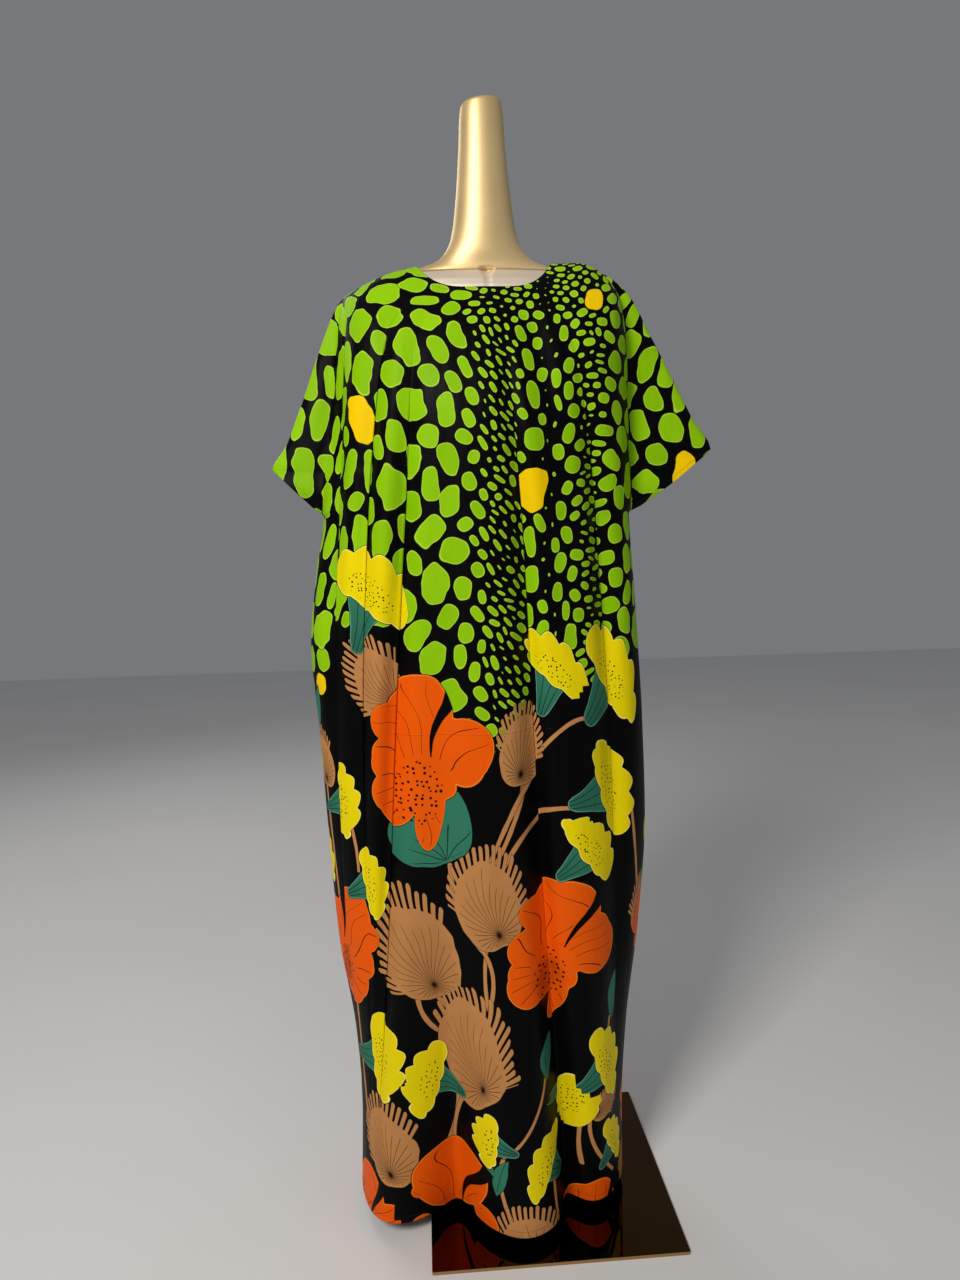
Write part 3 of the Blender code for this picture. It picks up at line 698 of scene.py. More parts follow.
def spotSizes(across, down):
    read = lambda name: np.interp(across * 100, spots["across"], spots[name])
    share = np.clip((down * 100 - spots["change"][0]) / (spots["change"][1] - spots["change"][0]), 0, 1)
    share = share * share * (3 - 2 * share)
    radius = (read("topRadius") * (1 - share) + read("radius") * share) / 1000
    tall = read("topTall") * (1 - share) + read("tall") * share
    return radius, tall, np.radians(read("lean")) * share


def spotRoom(radius):
    # the gap that a pebble keeps from the next
    return spots["gap"][0] / 1000 + spots["gap"][1] * radius


def onSpot(spot, x, y):
    # places on a pebble, across and along it, in parts of its own size
    east, south = x - spot[0], y - spot[1]
    long, wide = spot[2] * np.sqrt(spot[3]), spot[2] / np.sqrt(spot[3])
    sine, cosine = np.sin(spot[4]), np.cos(spot[4])
    return (east * cosine + south * sine) / wide, (south * cosine - east * sine) / long


def spotGap(spot, x, y):
    # how far places lie outside a pebble
    return (np.hypot(*onSpot(spot, x, y)) - 1) * spot[2]


def sowSpots(chance, x, y, lowest):
    # one pebble for each share of the cloth that a pebble of that place fills, evenly spread
    radius = spotSizes(x, y)[0]
    room = radius + spotRoom(radius) / 2
    wanted = np.where(y < lowest, spots["cell"] ** 2 / (math.pi * room**2) * spots["fullness"], 0)
    wanted *= chance.uniform(*spots["sowing"], wanted.shape)
    rows, columns = x.shape
    wanted = np.pad(wanted, 1).tolist()
    sown = []
    for row in range(1, rows + 1):
        ahead = 1 if row % 2 else -1
        for column in range(1, columns + 1) if ahead > 0 else range(columns, 0, -1):
            have = wanted[row][column]
            if have > 0.5:
                sown.append((x[row - 1, column - 1], y[row - 1, column - 1]))
                have -= 1
            for down, side, share in ((0, ahead, 7), (1, -ahead, 3), (1, 0, 5), (1, ahead, 1)):
                wanted[row + down][column + side] += have * share / 16
    return np.array(sown)


def settleSpots(seed, yellows):
    # Pebbles sown over the cloth, then each again and again moved to the middle of the places nearest to it
    # and at last fitted to them. The yellow ones stay where they are put.
    chance = np.random.default_rng(seed)
    cell = spots["cell"]
    left, right, high, low = (edge / 100 for edge in spots["box"])
    x, y = np.meshgrid(np.arange(left, right, cell), np.arange(high, low, cell))
    lowest = np.interp(x * 100, spots["across"], spots["lowest"]) / 100
    fixed = np.array([yellow[:2] for yellow in yellows]) / 100
    sizes = np.array([yellow[2] for yellow in yellows]) / 1000
    sown = sowSpots(chance, x, y, lowest)
    away = np.linalg.norm(sown[:, None] - fixed[None], axis=2) > sizes + spots["yellowGap"]
    sown = np.concatenate([fixed, sown[away.all(axis=1)]])
    odd = chance.normal(0, 1, (3, len(sown))) * np.array(spots["uneven"])[:, None]
    number = chance.random(len(sown))
    number[:len(fixed)] += 10
    usable = y < lowest + 0.01
    x, y = x[usable], y[usable]
    column, row = (np.floor(way / spots["block"]).astype(int) for way in (x, y))
    block = column * 1000 + row
    order = np.argsort(block, kind="stable")
    x, y, block = x[order], y[order], block[order]
    blocks = np.split(np.arange(len(x)), np.flatnonzero(np.diff(block)) + 1)
    for turn in range(spots["settling"]):
        bare, tall, lean = spotSizes(sown[:, 0], sown[:, 1])
        bare, tall, lean = bare * np.exp(odd[0]), tall * np.exp(odd[1]), lean + odd[2]
        bare[:len(fixed)], tall[:len(fixed)] = sizes, spots["yellowTall"]
        radius = bare if turn == 0 else np.clip(radius, *(bare * limit for limit in spots["stretch"]))
        held = np.array([sown[:, 0], sown[:, 1], radius, tall, lean])
        owner = np.zeros(len(x), int)
        for places in blocks:
            away = np.hypot(sown[:, 0] - x[places].mean(), sown[:, 1] - y[places].mean())
            near = np.flatnonzero(away < max(spots["reach"][0], away.min() + spots["reach"][1]))
            gaps = spotGap(held[:, near, None], x[places][None], y[places][None])
            owner[places] = near[np.argmin(gaps, axis=0)]
        kept = np.bincount(owner, minlength=len(sown)) > 3
        kept[:len(fixed)] = True
        held, odd, number = held[:, kept], odd[:, kept], number[kept]
        inside, owner = kept[owner], np.cumsum(kept)[owner] - 1
        total = lambda values: np.bincount(owner[inside], values[inside], minlength=held.shape[1])
        count = np.maximum(total(np.ones(len(x))), 1)
        middles = np.stack([total(x), total(y)], axis=1) / count[:, None]
        gap = spotRoom(held[2])
        radius = (held[2] + np.sqrt(count / math.pi) * cell - gap / 2) / 2
        radius[:len(fixed)] = sizes
        sown = held[:2].T * spots["keeps"] + middles * (1 - spots["keeps"])
        sown[:len(fixed)] = fixed
    east, south = x - middles[owner, 0], y - middles[owner, 1]
    offsets = (east, south)
    spread = np.array([[total(first * second) for second in offsets] for first in offsets])
    spread = np.moveaxis(spread / count, -1, 0) + np.eye(2) * cell**2 / 12
    widths, ways = np.linalg.eigh(spread)
    half = spots["swell"] * np.sqrt(np.maximum(widths, 0)) - gap[:, None] / 2
    half = np.maximum(half, spots["smallest"])
    lean = np.arctan2(-ways[:, 0, 1], ways[:, 1, 1])
    result = np.array([middles[:, 0], middles[:, 1], np.sqrt(half[:, 0] * half[:, 1]),
                       np.clip(half[:, 1] / half[:, 0], 1, spots["tallest"]), lean, number])
    result[:2, :len(fixed)], result[2, :len(fixed)] = fixed.T, sizes
    luck = chance.random(len(number))
    luck[:len(fixed)] = 1
    for start, end, share, small in spots["thin"]:
        chosen = (result[0] > start / 100) & (result[0] < end / 100) & (luck < share)
        result[2, chosen] *= small * (0.7 + 0.6 * luck[chosen] / share)
    return result


def readFlats(piece):
    corners = np.empty(len(piece.data.loops) * 2, np.float32)
    piece.data.uv_layers["flat"].data.foreach_get("uv", corners)
    corners = corners.reshape(-1, 4, 2).astype(float)
    return corners, corners.mean(axis=1)


def writeLocal(piece, name, values):
    layer = piece.data.attributes.new(name, "FLOAT_COLOR", "CORNER")
    layer.data.foreach_set("color", values.astype(np.float32).ravel())


def placeSpots(piece, held):
    # each face's corners hold their places on the three nearest pebbles, in parts of the pebble's own size
    corners, middles = readFlats(piece)
    layers = np.full((3, len(middles), 4, 4), reach["farAway"])
    close = np.flatnonzero(middles[:, 1] < spots["last"])
    for faces in np.split(close, range(reach["batch"], len(close), reach["batch"])):
        gap = spotGap(held[:5, None, :], middles[faces, :1], middles[faces, 1:])
        for rank, i in enumerate(np.argsort(gap, axis=1)[:, :3].T):
            spot = held[:, i, None]
            place = onSpot(spot, corners[faces, :, 0], corners[faces, :, 1])
            layers[rank, faces] = np.stack(np.broadcast_arrays(*place, spot[2], spot[5]), axis=2)
    for letter, layer in zip("abc", layers):
        writeLocal(piece, "pebble_" + letter, layer)


def placeMotifs(piece, name, motifs, *ovals):
    # Each face takes the motif whose ovals (middle, half width, half height) it lies nearest to, and its
    # corners hold their places on that motif: across and up in the motif's own sizes, that size in metres
    # and its kind.
    corners, middles = readFlats(piece)
    best = np.full(len(middles), reach["motif"])
    local = np.full((len(middles), 4, 4), reach["farAway"])
    for motif in (Motif(*values) for values in motifs):
        size = motif.size / 100
        turn = math.radians(motif.turn)
        right = np.array([math.cos(turn), math.sin(turn)]) * motif.flip
        up = np.array([math.sin(turn), -math.cos(turn)])
        start = np.array([motif.across, motif.down]) / 100
        x, y = (middles - start) @ right / size, (middles - start) @ up / size
        far = np.min([np.hypot((x - oval[0]) / oval[2], (y - oval[1]) / oval[3]) for oval in ovals], axis=0)
        mine = far < best
        best[mine] = far[mine]
        offset = (corners[mine] - start) / size
        fill = np.ones(offset.shape[:2])
        local[mine] = np.stack([offset @ right, offset @ up, fill * size, fill * motif.kind], axis=2)
    writeLocal(piece, name, local)


def placeStems(piece, name, stems):
    # corners hold how far they lie to the side of the nearest stem and past its ends, half its width and
    # how far along it they are, in metres
    corners, middles = readFlats(piece)
    best = np.full(len(middles), np.inf)
    local = np.full((len(middles), 4, 4), reach["farAway"])
    share = np.linspace(0, 1, reach["stemSteps"])[:, None]
    for *ends, wide in stems:
        start, middle, end = np.array(ends).reshape(3, 2) / 100
        handle = 2 * middle - (start + end) / 2
        path = start * (1 - share) ** 2 + handle * 2 * share * (1 - share) + end * share**2
        around = np.linalg.norm(end - start) * 0.7 + 0.02
        close = np.flatnonzero(np.linalg.norm(middles - middle, axis=1) < around)
        if not len(close):
            continue
        spread = np.linalg.norm(middles[close][:, None] - path[None], axis=2).min(axis=1)
        nearer = spread < np.minimum(best[close], reach["stem"])
        mine = close[nearer]
        best[mine] = spread[nearer]
        points = corners[mine].reshape(-1, 2)
        steps = np.diff(path, axis=0)
        lengths = np.linalg.norm(steps, axis=1)
        gone = points[:, None] - path[None, :-1]
        along = np.clip((gone * steps).sum(axis=2) / lengths**2, 0, 1)
        apart = points[:, None] - (path[None, :-1] + along[..., None] * steps)
        k = np.argmin(np.linalg.norm(apart, axis=2), axis=1)
        gone, ahead = gone[np.arange(len(points)), k], steps[k] / lengths[k][:, None]
        side = gone[:, 0] * ahead[:, 1] - gone[:, 1] * ahead[:, 0]
        run = runDown(path)
        way = run[k] + (gone * ahead).sum(axis=1)
        past = np.maximum(-way, way - run[-1])
        half = np.full(len(points), wide / 2000)
        local[mine] = np.stack([side, past, half, way], axis=1).reshape(-1, 4, 4)
    writeLocal(piece, name, local)


def layPrint(piece, motifs, stems, seed, yellows):
    placeSpots(piece, settleSpots(seed, yellows))
    placeMotifs(piece, "blossom", motifs["blossom"], (0.0, 0.0, 1.0, 0.60), (0.0, -0.64, 0.42, 0.62))
    placeMotifs(piece, "poppy", motifs["poppy"], (0.0, 0.40, 1.10, 1.25), (-0.05, -0.85, 0.85, 0.60))
    placeMotifs(piece, "fan", motifs["fan"], (0.0, 0.40, 0.66, 0.75))
    placeMotifs(piece, "leaf", motifs["leaf"], (0.0, 0.0, 0.40, 1.05))
    for name, lines in stems.items():
        placeStems(piece, name, lines)


# the yellow pebbles: across, down and the radius in mm
frontYellows = ((-21.9, 21.1, 27), (5.0, 31.4, 27), (16.0, 2.9, 18), (36.6, 28.3, 24), (-34.1, 59.4, 16))
backYellows = ((-14.0, 26.0, 24), (22.0, 34.0, 26), (4.0, 12.0, 18), (-33.0, 22.0, 24))
layPrint(frontCloth, frontPrint, frontStems, 11, frontYellows)
layPrint(backCloth, backPrint, backStems, 23, backYellows)
print("print laid out")


# The turned edges, inside the cloth, and the stitches that hold them.
hems = {
    "lift": 0.0013,  # from the cloth's middle to the turned layer's
    "depths": (0.0004, 0.00575, 0.0115),
    "cuffEnds": (0.004, 0.006),  # a cuff's hem starts and stops this far inside its ends
    "cuffDepth": 1.35,  # how much deeper a cuff's hem is
    "stitchLine": 0.0098,
    "stitchPitch": 0.0031,
    "stitchSize": (0.0023, 0.00042, 0.0006),
    "stitchProud": 0.00075,  # from the cloth's middle to the thread's
}


def alongGrid(points, side, where, depth):
    # the points and outward directions at a depth in from one edge of a panel, as two arrays
    normal = outward(points, side)
    if where in ("top", "bottom"):
        points, normal = points.swapaxes(0, 1), normal.swapaxes(0, 1)
    else:
        places, (first, last) = rowPlaces(), hems["cuffEnds"]
        cuff = (places > ringPlaces["sleeveTip"] + first) & (places < ringPlaces["underarm"] - last)
        points, normal, depth = points[cuff], normal[cuff], depth * hems["cuffDepth"]
    if where in ("bottom", "right"):
        points, normal = points[:, ::-1], normal[:, ::-1]
    runs = [runDown(line) for line in points]
    return [np.array([readAlong(depth, run, line) for run, line in zip(runs, lines)])
            for lines in (points, normal)]


def turnedEdge(name, points, side, where):
    # a strip of cloth folded back behind an edge
    lines = []
    for depth in hems["depths"]:
        found, facing = alongGrid(points, side, where, depth)
        lines.append(found - facing / np.linalg.norm(facing, axis=1, keepdims=True) * hems["lift"])
        if depth == hems["depths"][1]:
            outwards = facing[len(facing) // 2]
    lines = np.array(lines)
    bm = bmesh.new()
    layGrid(bm, lines)
    bm.normal_update()
    middle = Vector(lines[1, lines.shape[1] // 2])
    nearest = min(bm.faces, key=lambda face: (face.calc_center_median() - middle).length)
    if nearest.normal.dot(Vector(outwards)) < 0:
        bmesh.ops.reverse_faces(bm, faces=bm.faces)
    return finishPiece(name, bm)


def stitches(name, edges):
    # small beads of thread laid end to end inside the edges, each seen on the cloth's outer side
    bm = bmesh.new()
    size = Matrix.Diagonal([length / 2 for length in hems["stitchSize"]]).to_4x4()
    for points, side, where in edges:
        path, facing = alongGrid(points, side, where, hems["stitchLine"])
        run = runDown(path)
        for k in range(int(run[-1] / hems["stitchPitch"])):
            at = (k + 0.5) * hems["stitchPitch"]
            middle = Vector(readAlong(at, run, path))
            ahead = Vector(readAlong(at + 0.001, run, path)) - middle
            up = Vector(readAlong(at, run, facing)).normalized()
            ahead = (ahead - up * ahead.dot(up)).normalized()
            turn = Matrix((ahead, up.cross(ahead), up)).transposed().to_4x4()
            place = Matrix.Translation(middle + up * hems["stitchProud"])
            bmesh.ops.create_icosphere(bm, subdivisions=1, radius=1, matrix=place @ turn @ size)
    return finishPiece(name, bm)


panels = {"front": (frontPoints, -1), "back": (backPoints, 1)}
edges = {"neck_facing": "top", "hem": "bottom", "left_cuff_hem": "left", "right_cuff_hem": "right"}
turned = {name: [turnedEdge(f"{name}_{part}", *panel, where) for part, where in edges.items()]
          for name, panel in panels.items()}
neckStitches, hemStitches, cuffStitches = (
    stitches(name, [(*panel, where) for panel in panels.values() for where in wheres])
    for name, wheres in (("neck_stitches", ("top",)), ("hem_stitches", ("bottom",)),
                         ("cuff_stitches", ("left", "right"))))
print("edges turned and stitched")


# The display form, its pole and the base plate.
form = {
    "around": 144,
    "rowStep": 0.006,
    "frontCrowding": 0.6,  # draws the columns together towards the front
    "collar": (1.4800, 1.4520, 0.0065),  # a ledge in front: its crease, its foot and how far it stands out
    "collarFade": 0.030,  # how far below its foot it fades out
    "collarRows": (24, 0.0016),  # extra rows there: how many and how far apart
    "notch": (0.0115, 0.0090),  # the v below the throat: half width at the crease and depth
    "groove": (0.0016, 0.0022),  # along the crease: depth and half width
    "squareness": 2.15,
    "topSlant": (0.10, 0.08),  # how steep the top's tilt is, and how far down it fades out
    "topRows": (0.0006, 0.0015, 0.003),  # extra rows this far below the top
    "footRows": (0.0015, 0.004),
}

# height, half width, depth in front and depth behind, in mm
Level = namedtuple("Level", "z side front back")
formLevels = [Level(*(size / 1000 for size in level)) for level in (
    (800, 140, 80, 92), (806, 153, 91, 103), (880, 166, 102, 110), (960, 152, 96, 102), (1060, 122, 86, 88),
    (1160, 136, 96, 92), (1250, 152, 106, 100), (1330, 166, 102, 102), (1385, 184, 86, 96),
    (1420, 194, 70, 84), (1445, 190, 56, 71), (1464.2, 176, 47, 60), (1476.7, 152, 41, 53),
    (1484.9, 124, 38, 49), (1490.9, 99, 38, 46), (1498, 79, 39, 44), (1510, 64, 40, 43),
    (1538, 50.5, 39, 41), (1590, 42.5, 36, 36), (1665, 35.8, 32, 32), (1732, 31, 28, 28),
    (1735, 28.8, 26, 26),
)]


def throatRelief(x, z):
    # how far the form's front stands out at its collar, less the notch in the middle
    crease, foot, proud = form["collar"]
    fade = form["collarFade"]
    if z >= crease + 0.008 or z <= foot - fade:
        return 0
    below = min(1, max(0, (crease - z) / (crease - foot)))
    ledge = proud * min(below * 1.6, 1) * min(1, max(0, (z - foot + fade) / fade))
    half, deep = form["notch"]
    wide = half * max(0.12, 1 - below)
    inside = max(0, 1 - (x / wide) ** 2)
    groove = form["groove"][0] * math.exp(-(((z - crease) / form["groove"][1]) ** 2))
    notch = deep * inside * min(1, max(0, crease + 0.004 - z) / 0.006) * max(0, 1 - below * 0.9)
    return ledge - groove - notch


def displayForm():
    top, foot = formLevels[-1].z, formLevels[0].z
    steps = round((top - foot) / form["rowStep"])
    heights = [foot + (top - foot) * k / steps for k in range(steps + 1)]
    heights += [foot + rise for rise in form["footRows"]] + [top - drop for drop in form["topRows"]]
    count, step = form["collarRows"]
    heights = sorted(heights + [form["collar"][1] - 0.002 + step * k for k in range(count)])
    stations = [level.z for level in formLevels]
    side, ahead, behind = (smoothThrough(stations, [getattr(level, part) for level in formLevels], heights)
                           for part in ("side", "front", "back"))
    bm = bmesh.new()
    bmesh.ops.create_circle(bm, cap_ends=True, segments=form["around"], radius=1)
    loop = list(bm.verts)
    angles = [math.atan2(vert.co.x, -vert.co.y) for vert in loop]
    angles = [angle - form["frontCrowding"] * math.sin(angle) for angle in angles]
    for row, z in enumerate(heights):
        if row:
            edges = [edge for edge in bm.edges if edge.verts[0] in loopSet and edge.verts[1] in loopSet]
            grown = bmesh.ops.extrude_edge_only(bm, edges=edges)["geom"]
            grown = [part for part in grown if isinstance(part, bmesh.types.BMVert)]
            matched = {tuple(round(c, 7) for c in vert.co): vert for vert in grown}
            loop = [matched[tuple(round(c, 7) for c in vert.co)] for vert in loop]
        loopSet = set(loop)
        slant = form["topSlant"][0] * max(0, 1 - (top - z) / form["topSlant"][1])
        for vert, angle in zip(loop, angles):
            power = 2 / form["squareness"]
            sine, cosine = math.sin(angle), math.cos(angle)
            x = math.copysign(abs(sine) ** power, sine) * side[row]
            deep = ahead[row] if cosine > 0 else behind[row]
            y = -math.copysign(abs(cosine) ** power, cosine) * deep - throatRelief(x, z) * max(cosine, 0)
            vert.co = (x, y, z + slant * (x - side[row]))
    bmesh.ops.contextual_create(bm, geom=[edge for edge in bm.edges if edge.is_boundary])
    bmesh.ops.recalc_face_normals(bm, faces=bm.faces)
    piece = finishPiece("gold_form", bm)
    piece.data.materials.append(goldLacquer())
    return piece


goldForm = displayForm()
print("form shaped:", len(goldForm.data.polygons), "faces")


def squarePlate():
    bm = bmesh.new()
    bmesh.ops.create_cube(bm, size=1)
    bmesh.ops.scale(bm, vec=(plate["side"], plate["side"], plate["thick"]), verts=bm.verts)
    bmesh.ops.translate(bm, vec=(plate["shift"], 0, plate["thick"] / 2), verts=bm.verts)
    rise = lambda edge: abs(edge.verts[0].co.z - edge.verts[1].co.z)
    for upright, offset, segments in ((True, plate["corner"], 5), (False, plate["edgeBevel"], 3)):
        chosen = [edge for edge in bm.edges if (rise(edge) > plate["thick"] / 2) == upright]
        bmesh.ops.bevel(bm, geom=chosen, offset=offset, segments=segments, profile=0.5,
                        affect="EDGES", material=-1)
    piece = finishPiece("base_plate", bm, smooth=False)
    piece.data.materials.append(bronzeMirror())
    return piece


basePlate = squarePlate()
steel = polishedSteel()
for name in ("pole", "pole_flange", "pole_collar"):
    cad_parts[name].data.materials.clear()
    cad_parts[name].data.materials.append(steel)
print("stand made")


# The printed cloth's finish. The motifs' sizes are in parts of a motif's own size, lines are in metres.
inks = {
    "ground": ink(5, 5, 6),
    "lime": ink(134, 190, 5),
    "freshLime": ink(146, 202, 12),
    "limeEdge": ink(178, 216, 62),
    "limeHalo": ink(18, 48, 6),
    "yellow": ink(238, 216, 6),
    "yellowEdge": ink(252, 242, 116),
    "sunYellow": ink(248, 206, 4),
    "orange": ink(240, 92, 6),
    "orangeEdge": ink(248, 134, 36),
    "throat": ink(140, 56, 16),
    "teal": ink(52, 122, 98),
    "tealEdge": ink(96, 162, 138),
    "deepTeal": ink(32, 84, 68),
    "tan": ink(192, 134, 80),
    "deepTan": ink(156, 104, 60),
    "line": ink(24, 14, 8),
}
weave = {
    "roughness": 0.46,
    "specular": 0.05,
    "foldLine": (-0.04, 0.664, 0.16),  # a pressed line across the front: its middle and half its length
    "foldWobble": 0.006,
    "thread": (ink(10, 10, 12), ink(40, 40, 44)),
}


class ClothPrint(Finish):
    # draws the motifs one above another on the ground colour
    def __init__(self, name):
        super().__init__(name)
        self.flat = self.node("UVMap", {"uv_map": "flat"})
        self.colour = inks["ground"]
        self.wander = self.noise(self.flat, 30.0, 1.0, "2D") - 0.5
        self.drift = self.noise(self.flat, 9.0, 0.0, "2D") - 0.5

    def local(self, name):
        # a motif's own coordinates: across, up, size and kind
        place = self.node("Attribute", {"attribute_name": name})
        kind = self.node("Attribute", {"attribute_name": name}, None, 3)
        return *self.parts(place, 0, 1, 2), kind

    def far(self, x, y):
        return self.root(x * x + y * y)

    def oval(self, x, y, at, wide, tall, lean=0.0):
        # 1 on the edge of an oval, less inside it
        sine, cosine = math.sin(math.radians(lean)), math.cos(math.radians(lean))
        east, north = x - at[0], y - at[1]
        if lean:
            east, north = east * cosine - north * sine, east * sine + north * cosine
        return self.root((east * (1 / wide)) ** 2 + (north * (1 / tall)) ** 2)

    def join(self, first, second, blur):
        return self.maths("SMOOTH_MIN", first, second, blur)

    def fromLines(self, turn, period):
        # how far a number lies from the nearest of evenly spaced ones, period apart
        return abs(self.maths("WRAP", turn, period / 2, -period / 2))

    def lay(self, share, colour):
        self.colour = self.mix(share, self.colour, inks[colour] if isinstance(colour, str) else colour)

    def fill(self, edge, colour, line=0.0009, shown=None):
        # fills where edge, in metres, is below 0, inside a fine dark line
        for limit, tone in ((line, "line"), (0.0, colour)):
            share = self.below(edge, limit)
            self.lay(share if shown is None else share * shown, tone)

    def rimmed(self, edge, colour, rim, wide=0.0006, blur=0.0005):
        # a colour with a fine rim of another just inside the edge
        return self.mix(self.below(abs(edge + 0.0006), wide, blur), colour, inks[rim])

    def rays(self, x, y, foot, period, wide, size, bend):
        # fine lines that meet at a foot: 1 on a line, and the way to the foot
        east, north = x - foot[0], y - foot[1]
        away = self.far(east, north)
        turn = self.maths("ARCTAN2", east, north) + bend
        return self.below(self.fromLines(turn, period) * away * size, wide), away

    def dots(self, pitch, wide):
        # small uneven dots all over: 1 in a dot
        cell = self.node("TexVoronoi", {"voronoi_dimensions": "2D"},
                         {"Vector": self.flat, "Scale": 1 / pitch, "Randomness": 0.75})
        odd = self.noise(self.flat, 90.0, 0.0, "2D")
        return self.below(cell * pitch, wide * (0.55 + odd))

    def stems(self, name):
        side, past, half = self.local(name)[:3]
        edge = self.far(side, self.most(past, 0.0)) - half * (0.86 + self.wander * 0.5)
        self.fill(edge, "tan", 0.0007)

    def pebbles(self, name):
        x, y, radius, number = self.local(name)
        big = self.below(0.0 - radius, -0.008, 0.012)
        x = x + self.drift * big * 0.9
        round = ((x * x) ** 1.2 + (y * y) ** 1.2) ** (0.5 / 1.2)
        edge = (round - 1.0 - self.wander * (0.24 + big * 0.52)) * radius
        tone = self.mix(self.maths("FRACT", number * 7.3), inks["lime"], inks["freshLime"])
        tone = self.rimmed(edge, tone, "limeEdge", 0.0007, 0.0006)
        tone = self.mix(self.below(10 - number, 0.5, 0.1), tone, inks["sunYellow"])
        self.lay(self.below(edge, 0.0007, 0.0006), "limeHalo")
        self.lay(self.below(edge, 0.0), tone)

    def leaf(self):
        x, y, size = self.local("leaf")[:3]
        bent = x - 0.14 * y * y + self.wander * 0.16
        self.fill((abs(bent) - 0.30 * (1.0 - y * y)) * size, "teal")
        self.lay(self.below(abs(bent) * size, 0.0004) * self.below(abs(y), 0.8, 0.1), "line")

    def fan(self):
        x, y, size, kind = self.local("fan")
        x = (x + self.drift * 0.2) * (1.4 + kind * 0.5)
        turn, away = self.maths("ARCTAN2", x, y), self.far(x, y)
        lean = turn + (kind - 0.5) * 0.9
        reach = 0.16 + self.most(self.maths("COSINE", lean * 0.5), 0.0) ** 2.4 * 0.76 + self.wander * 0.10
        edge = (away - reach) * size
        period = 0.118
        finger = self.maths("FLOOR", turn * (1 / period) + 0.5)
        number = self.vector(finger, self.maths("FLOOR", kind * 10.0 + 0.5))
        luck = self.node("TexWhiteNoise", {"noise_dimensions": "2D"}, {"Vector": number})
        apart = self.fromLines(turn, period) * away * size
        beyond = (away - reach - 0.14 - luck * 0.08) * size
        fingers = self.far(apart, self.most(beyond, 0.0)) - (0.008 + away * 0.026) * size
        fingers = self.most(fingers, (abs(lean - kind * 1.8 + 0.9) - 1.15) * 0.05)
        self.lay(self.below(self.maths("MINIMUM", edge, fingers), 0.0008), "line")
        self.lay(self.below(fingers, 0.0), "tan")
        deep = self.below(away / reach + self.wander, 0.6, 0.9)
        self.lay(self.below(edge, 0.0), self.mix(deep * 0.4, inks["tan"], inks["deepTan"]))
        veins = self.rays(x, y, (0.0, 0.0), 0.2, 0.00042, size, self.drift * 0.12)[0]
        self.lay(veins * self.below(away / reach + luck * 0.2, 0.92, 0.06), "line")

    def poppy(self):
        x, y, size, kind = self.local("poppy")
        x, y = x + self.drift * 0.24, y + self.wander * 0.06
        shown = self.below(kind, 1.0, 0.1)  # a kind above 1 has no cup
        cup = self.join(self.oval(x, y, (-0.10, -0.98), 0.70, 0.44, 10),
                        self.oval(x, y, (0.44, -0.66), 0.22, 0.56, -10), 0.3)
        cup = (cup - 1.0) * 0.36 * size
        self.fill(cup, "teal", shown=shown)
        veins, far = self.rays(x, y, (0.30, -1.36), 0.42, 0.0006, size, self.drift * 0.6)
        self.lay(veins * self.below(cup, -0.003, 0.002) * shown * self.below(far, 0.62, 0.1), "line")
        shut = self.most(kind - 2.0, 0.0)  # a kind above 2 is a closed flower
        turn = self.maths("ARCTAN2", x, y)
        waves = abs(self.maths("SINE", turn * 3.5 + kind * 2.0 + 0.6)) * (0.15 - shut * 0.18)
        petals = self.oval(x, y, (0.02, 1.0), 0.60, 0.62, 4) - waves - shut * 0.12
        for at, wide, tall, lean in (((-0.56, 0.92), 0.30, 0.30, 0), ((-0.62, 0.36), 0.36, 0.34, 0),
                                     ((-0.46, -0.24), 0.46, 0.50, 0), ((-0.02, 0.10), 0.50, 0.60, 0),
                                     ((0.64, 0.44), 0.48, 0.54, -20)):
            petals = self.join(petals, self.oval(x, y, at, wide, tall, lean) - waves + shut, 0.05)
        edge = (self.join(petals, self.oval(x, y, (0.10, -0.62), 0.20, 0.56, 10), 0.3) - 0.97) * 0.42 * size
        self.fill(edge, self.rimmed(edge, inks["orange"], "orangeEdge"))
        along = (x - 0.16) * 0.40 + (y - 0.36) * 0.92
        apart = abs((x - 0.16) * 0.92 - (y - 0.36) * 0.40 + self.maths("SINE", along * 4.4) * 0.06)
        gap = self.most(apart - 0.012 - along * 0.09, 0.0 - along)
        self.lay(self.below(gap * size, 0.0, 0.0005) * self.below(edge, 0.0012), "ground")
        bend = self.drift * 0.9 + self.maths("SINE", y * 5.0) * 0.08
        veins, far = self.rays(x, y, (-0.02, -0.10), 0.34, 0.0005, size, bend)
        band = self.below(edge, -0.006, 0.002) * self.below(0.52 - far, 0.0, 0.06)
        self.lay(veins * (band * self.below(0.0 - gap, -0.03, 0.02)), "line")
        throat = self.oval(x, y, (-0.08, -0.22), 0.42, 0.58)
        glow = self.below(throat + self.wander, 0.7, 0.5) * self.below(1.0 - kind, 0.0, 0.1)
        self.lay(glow * 0.5, "throat")
        self.lay(self.dots(0.0096, 0.0018) * self.below(throat, 0.9, 0.1), "line")

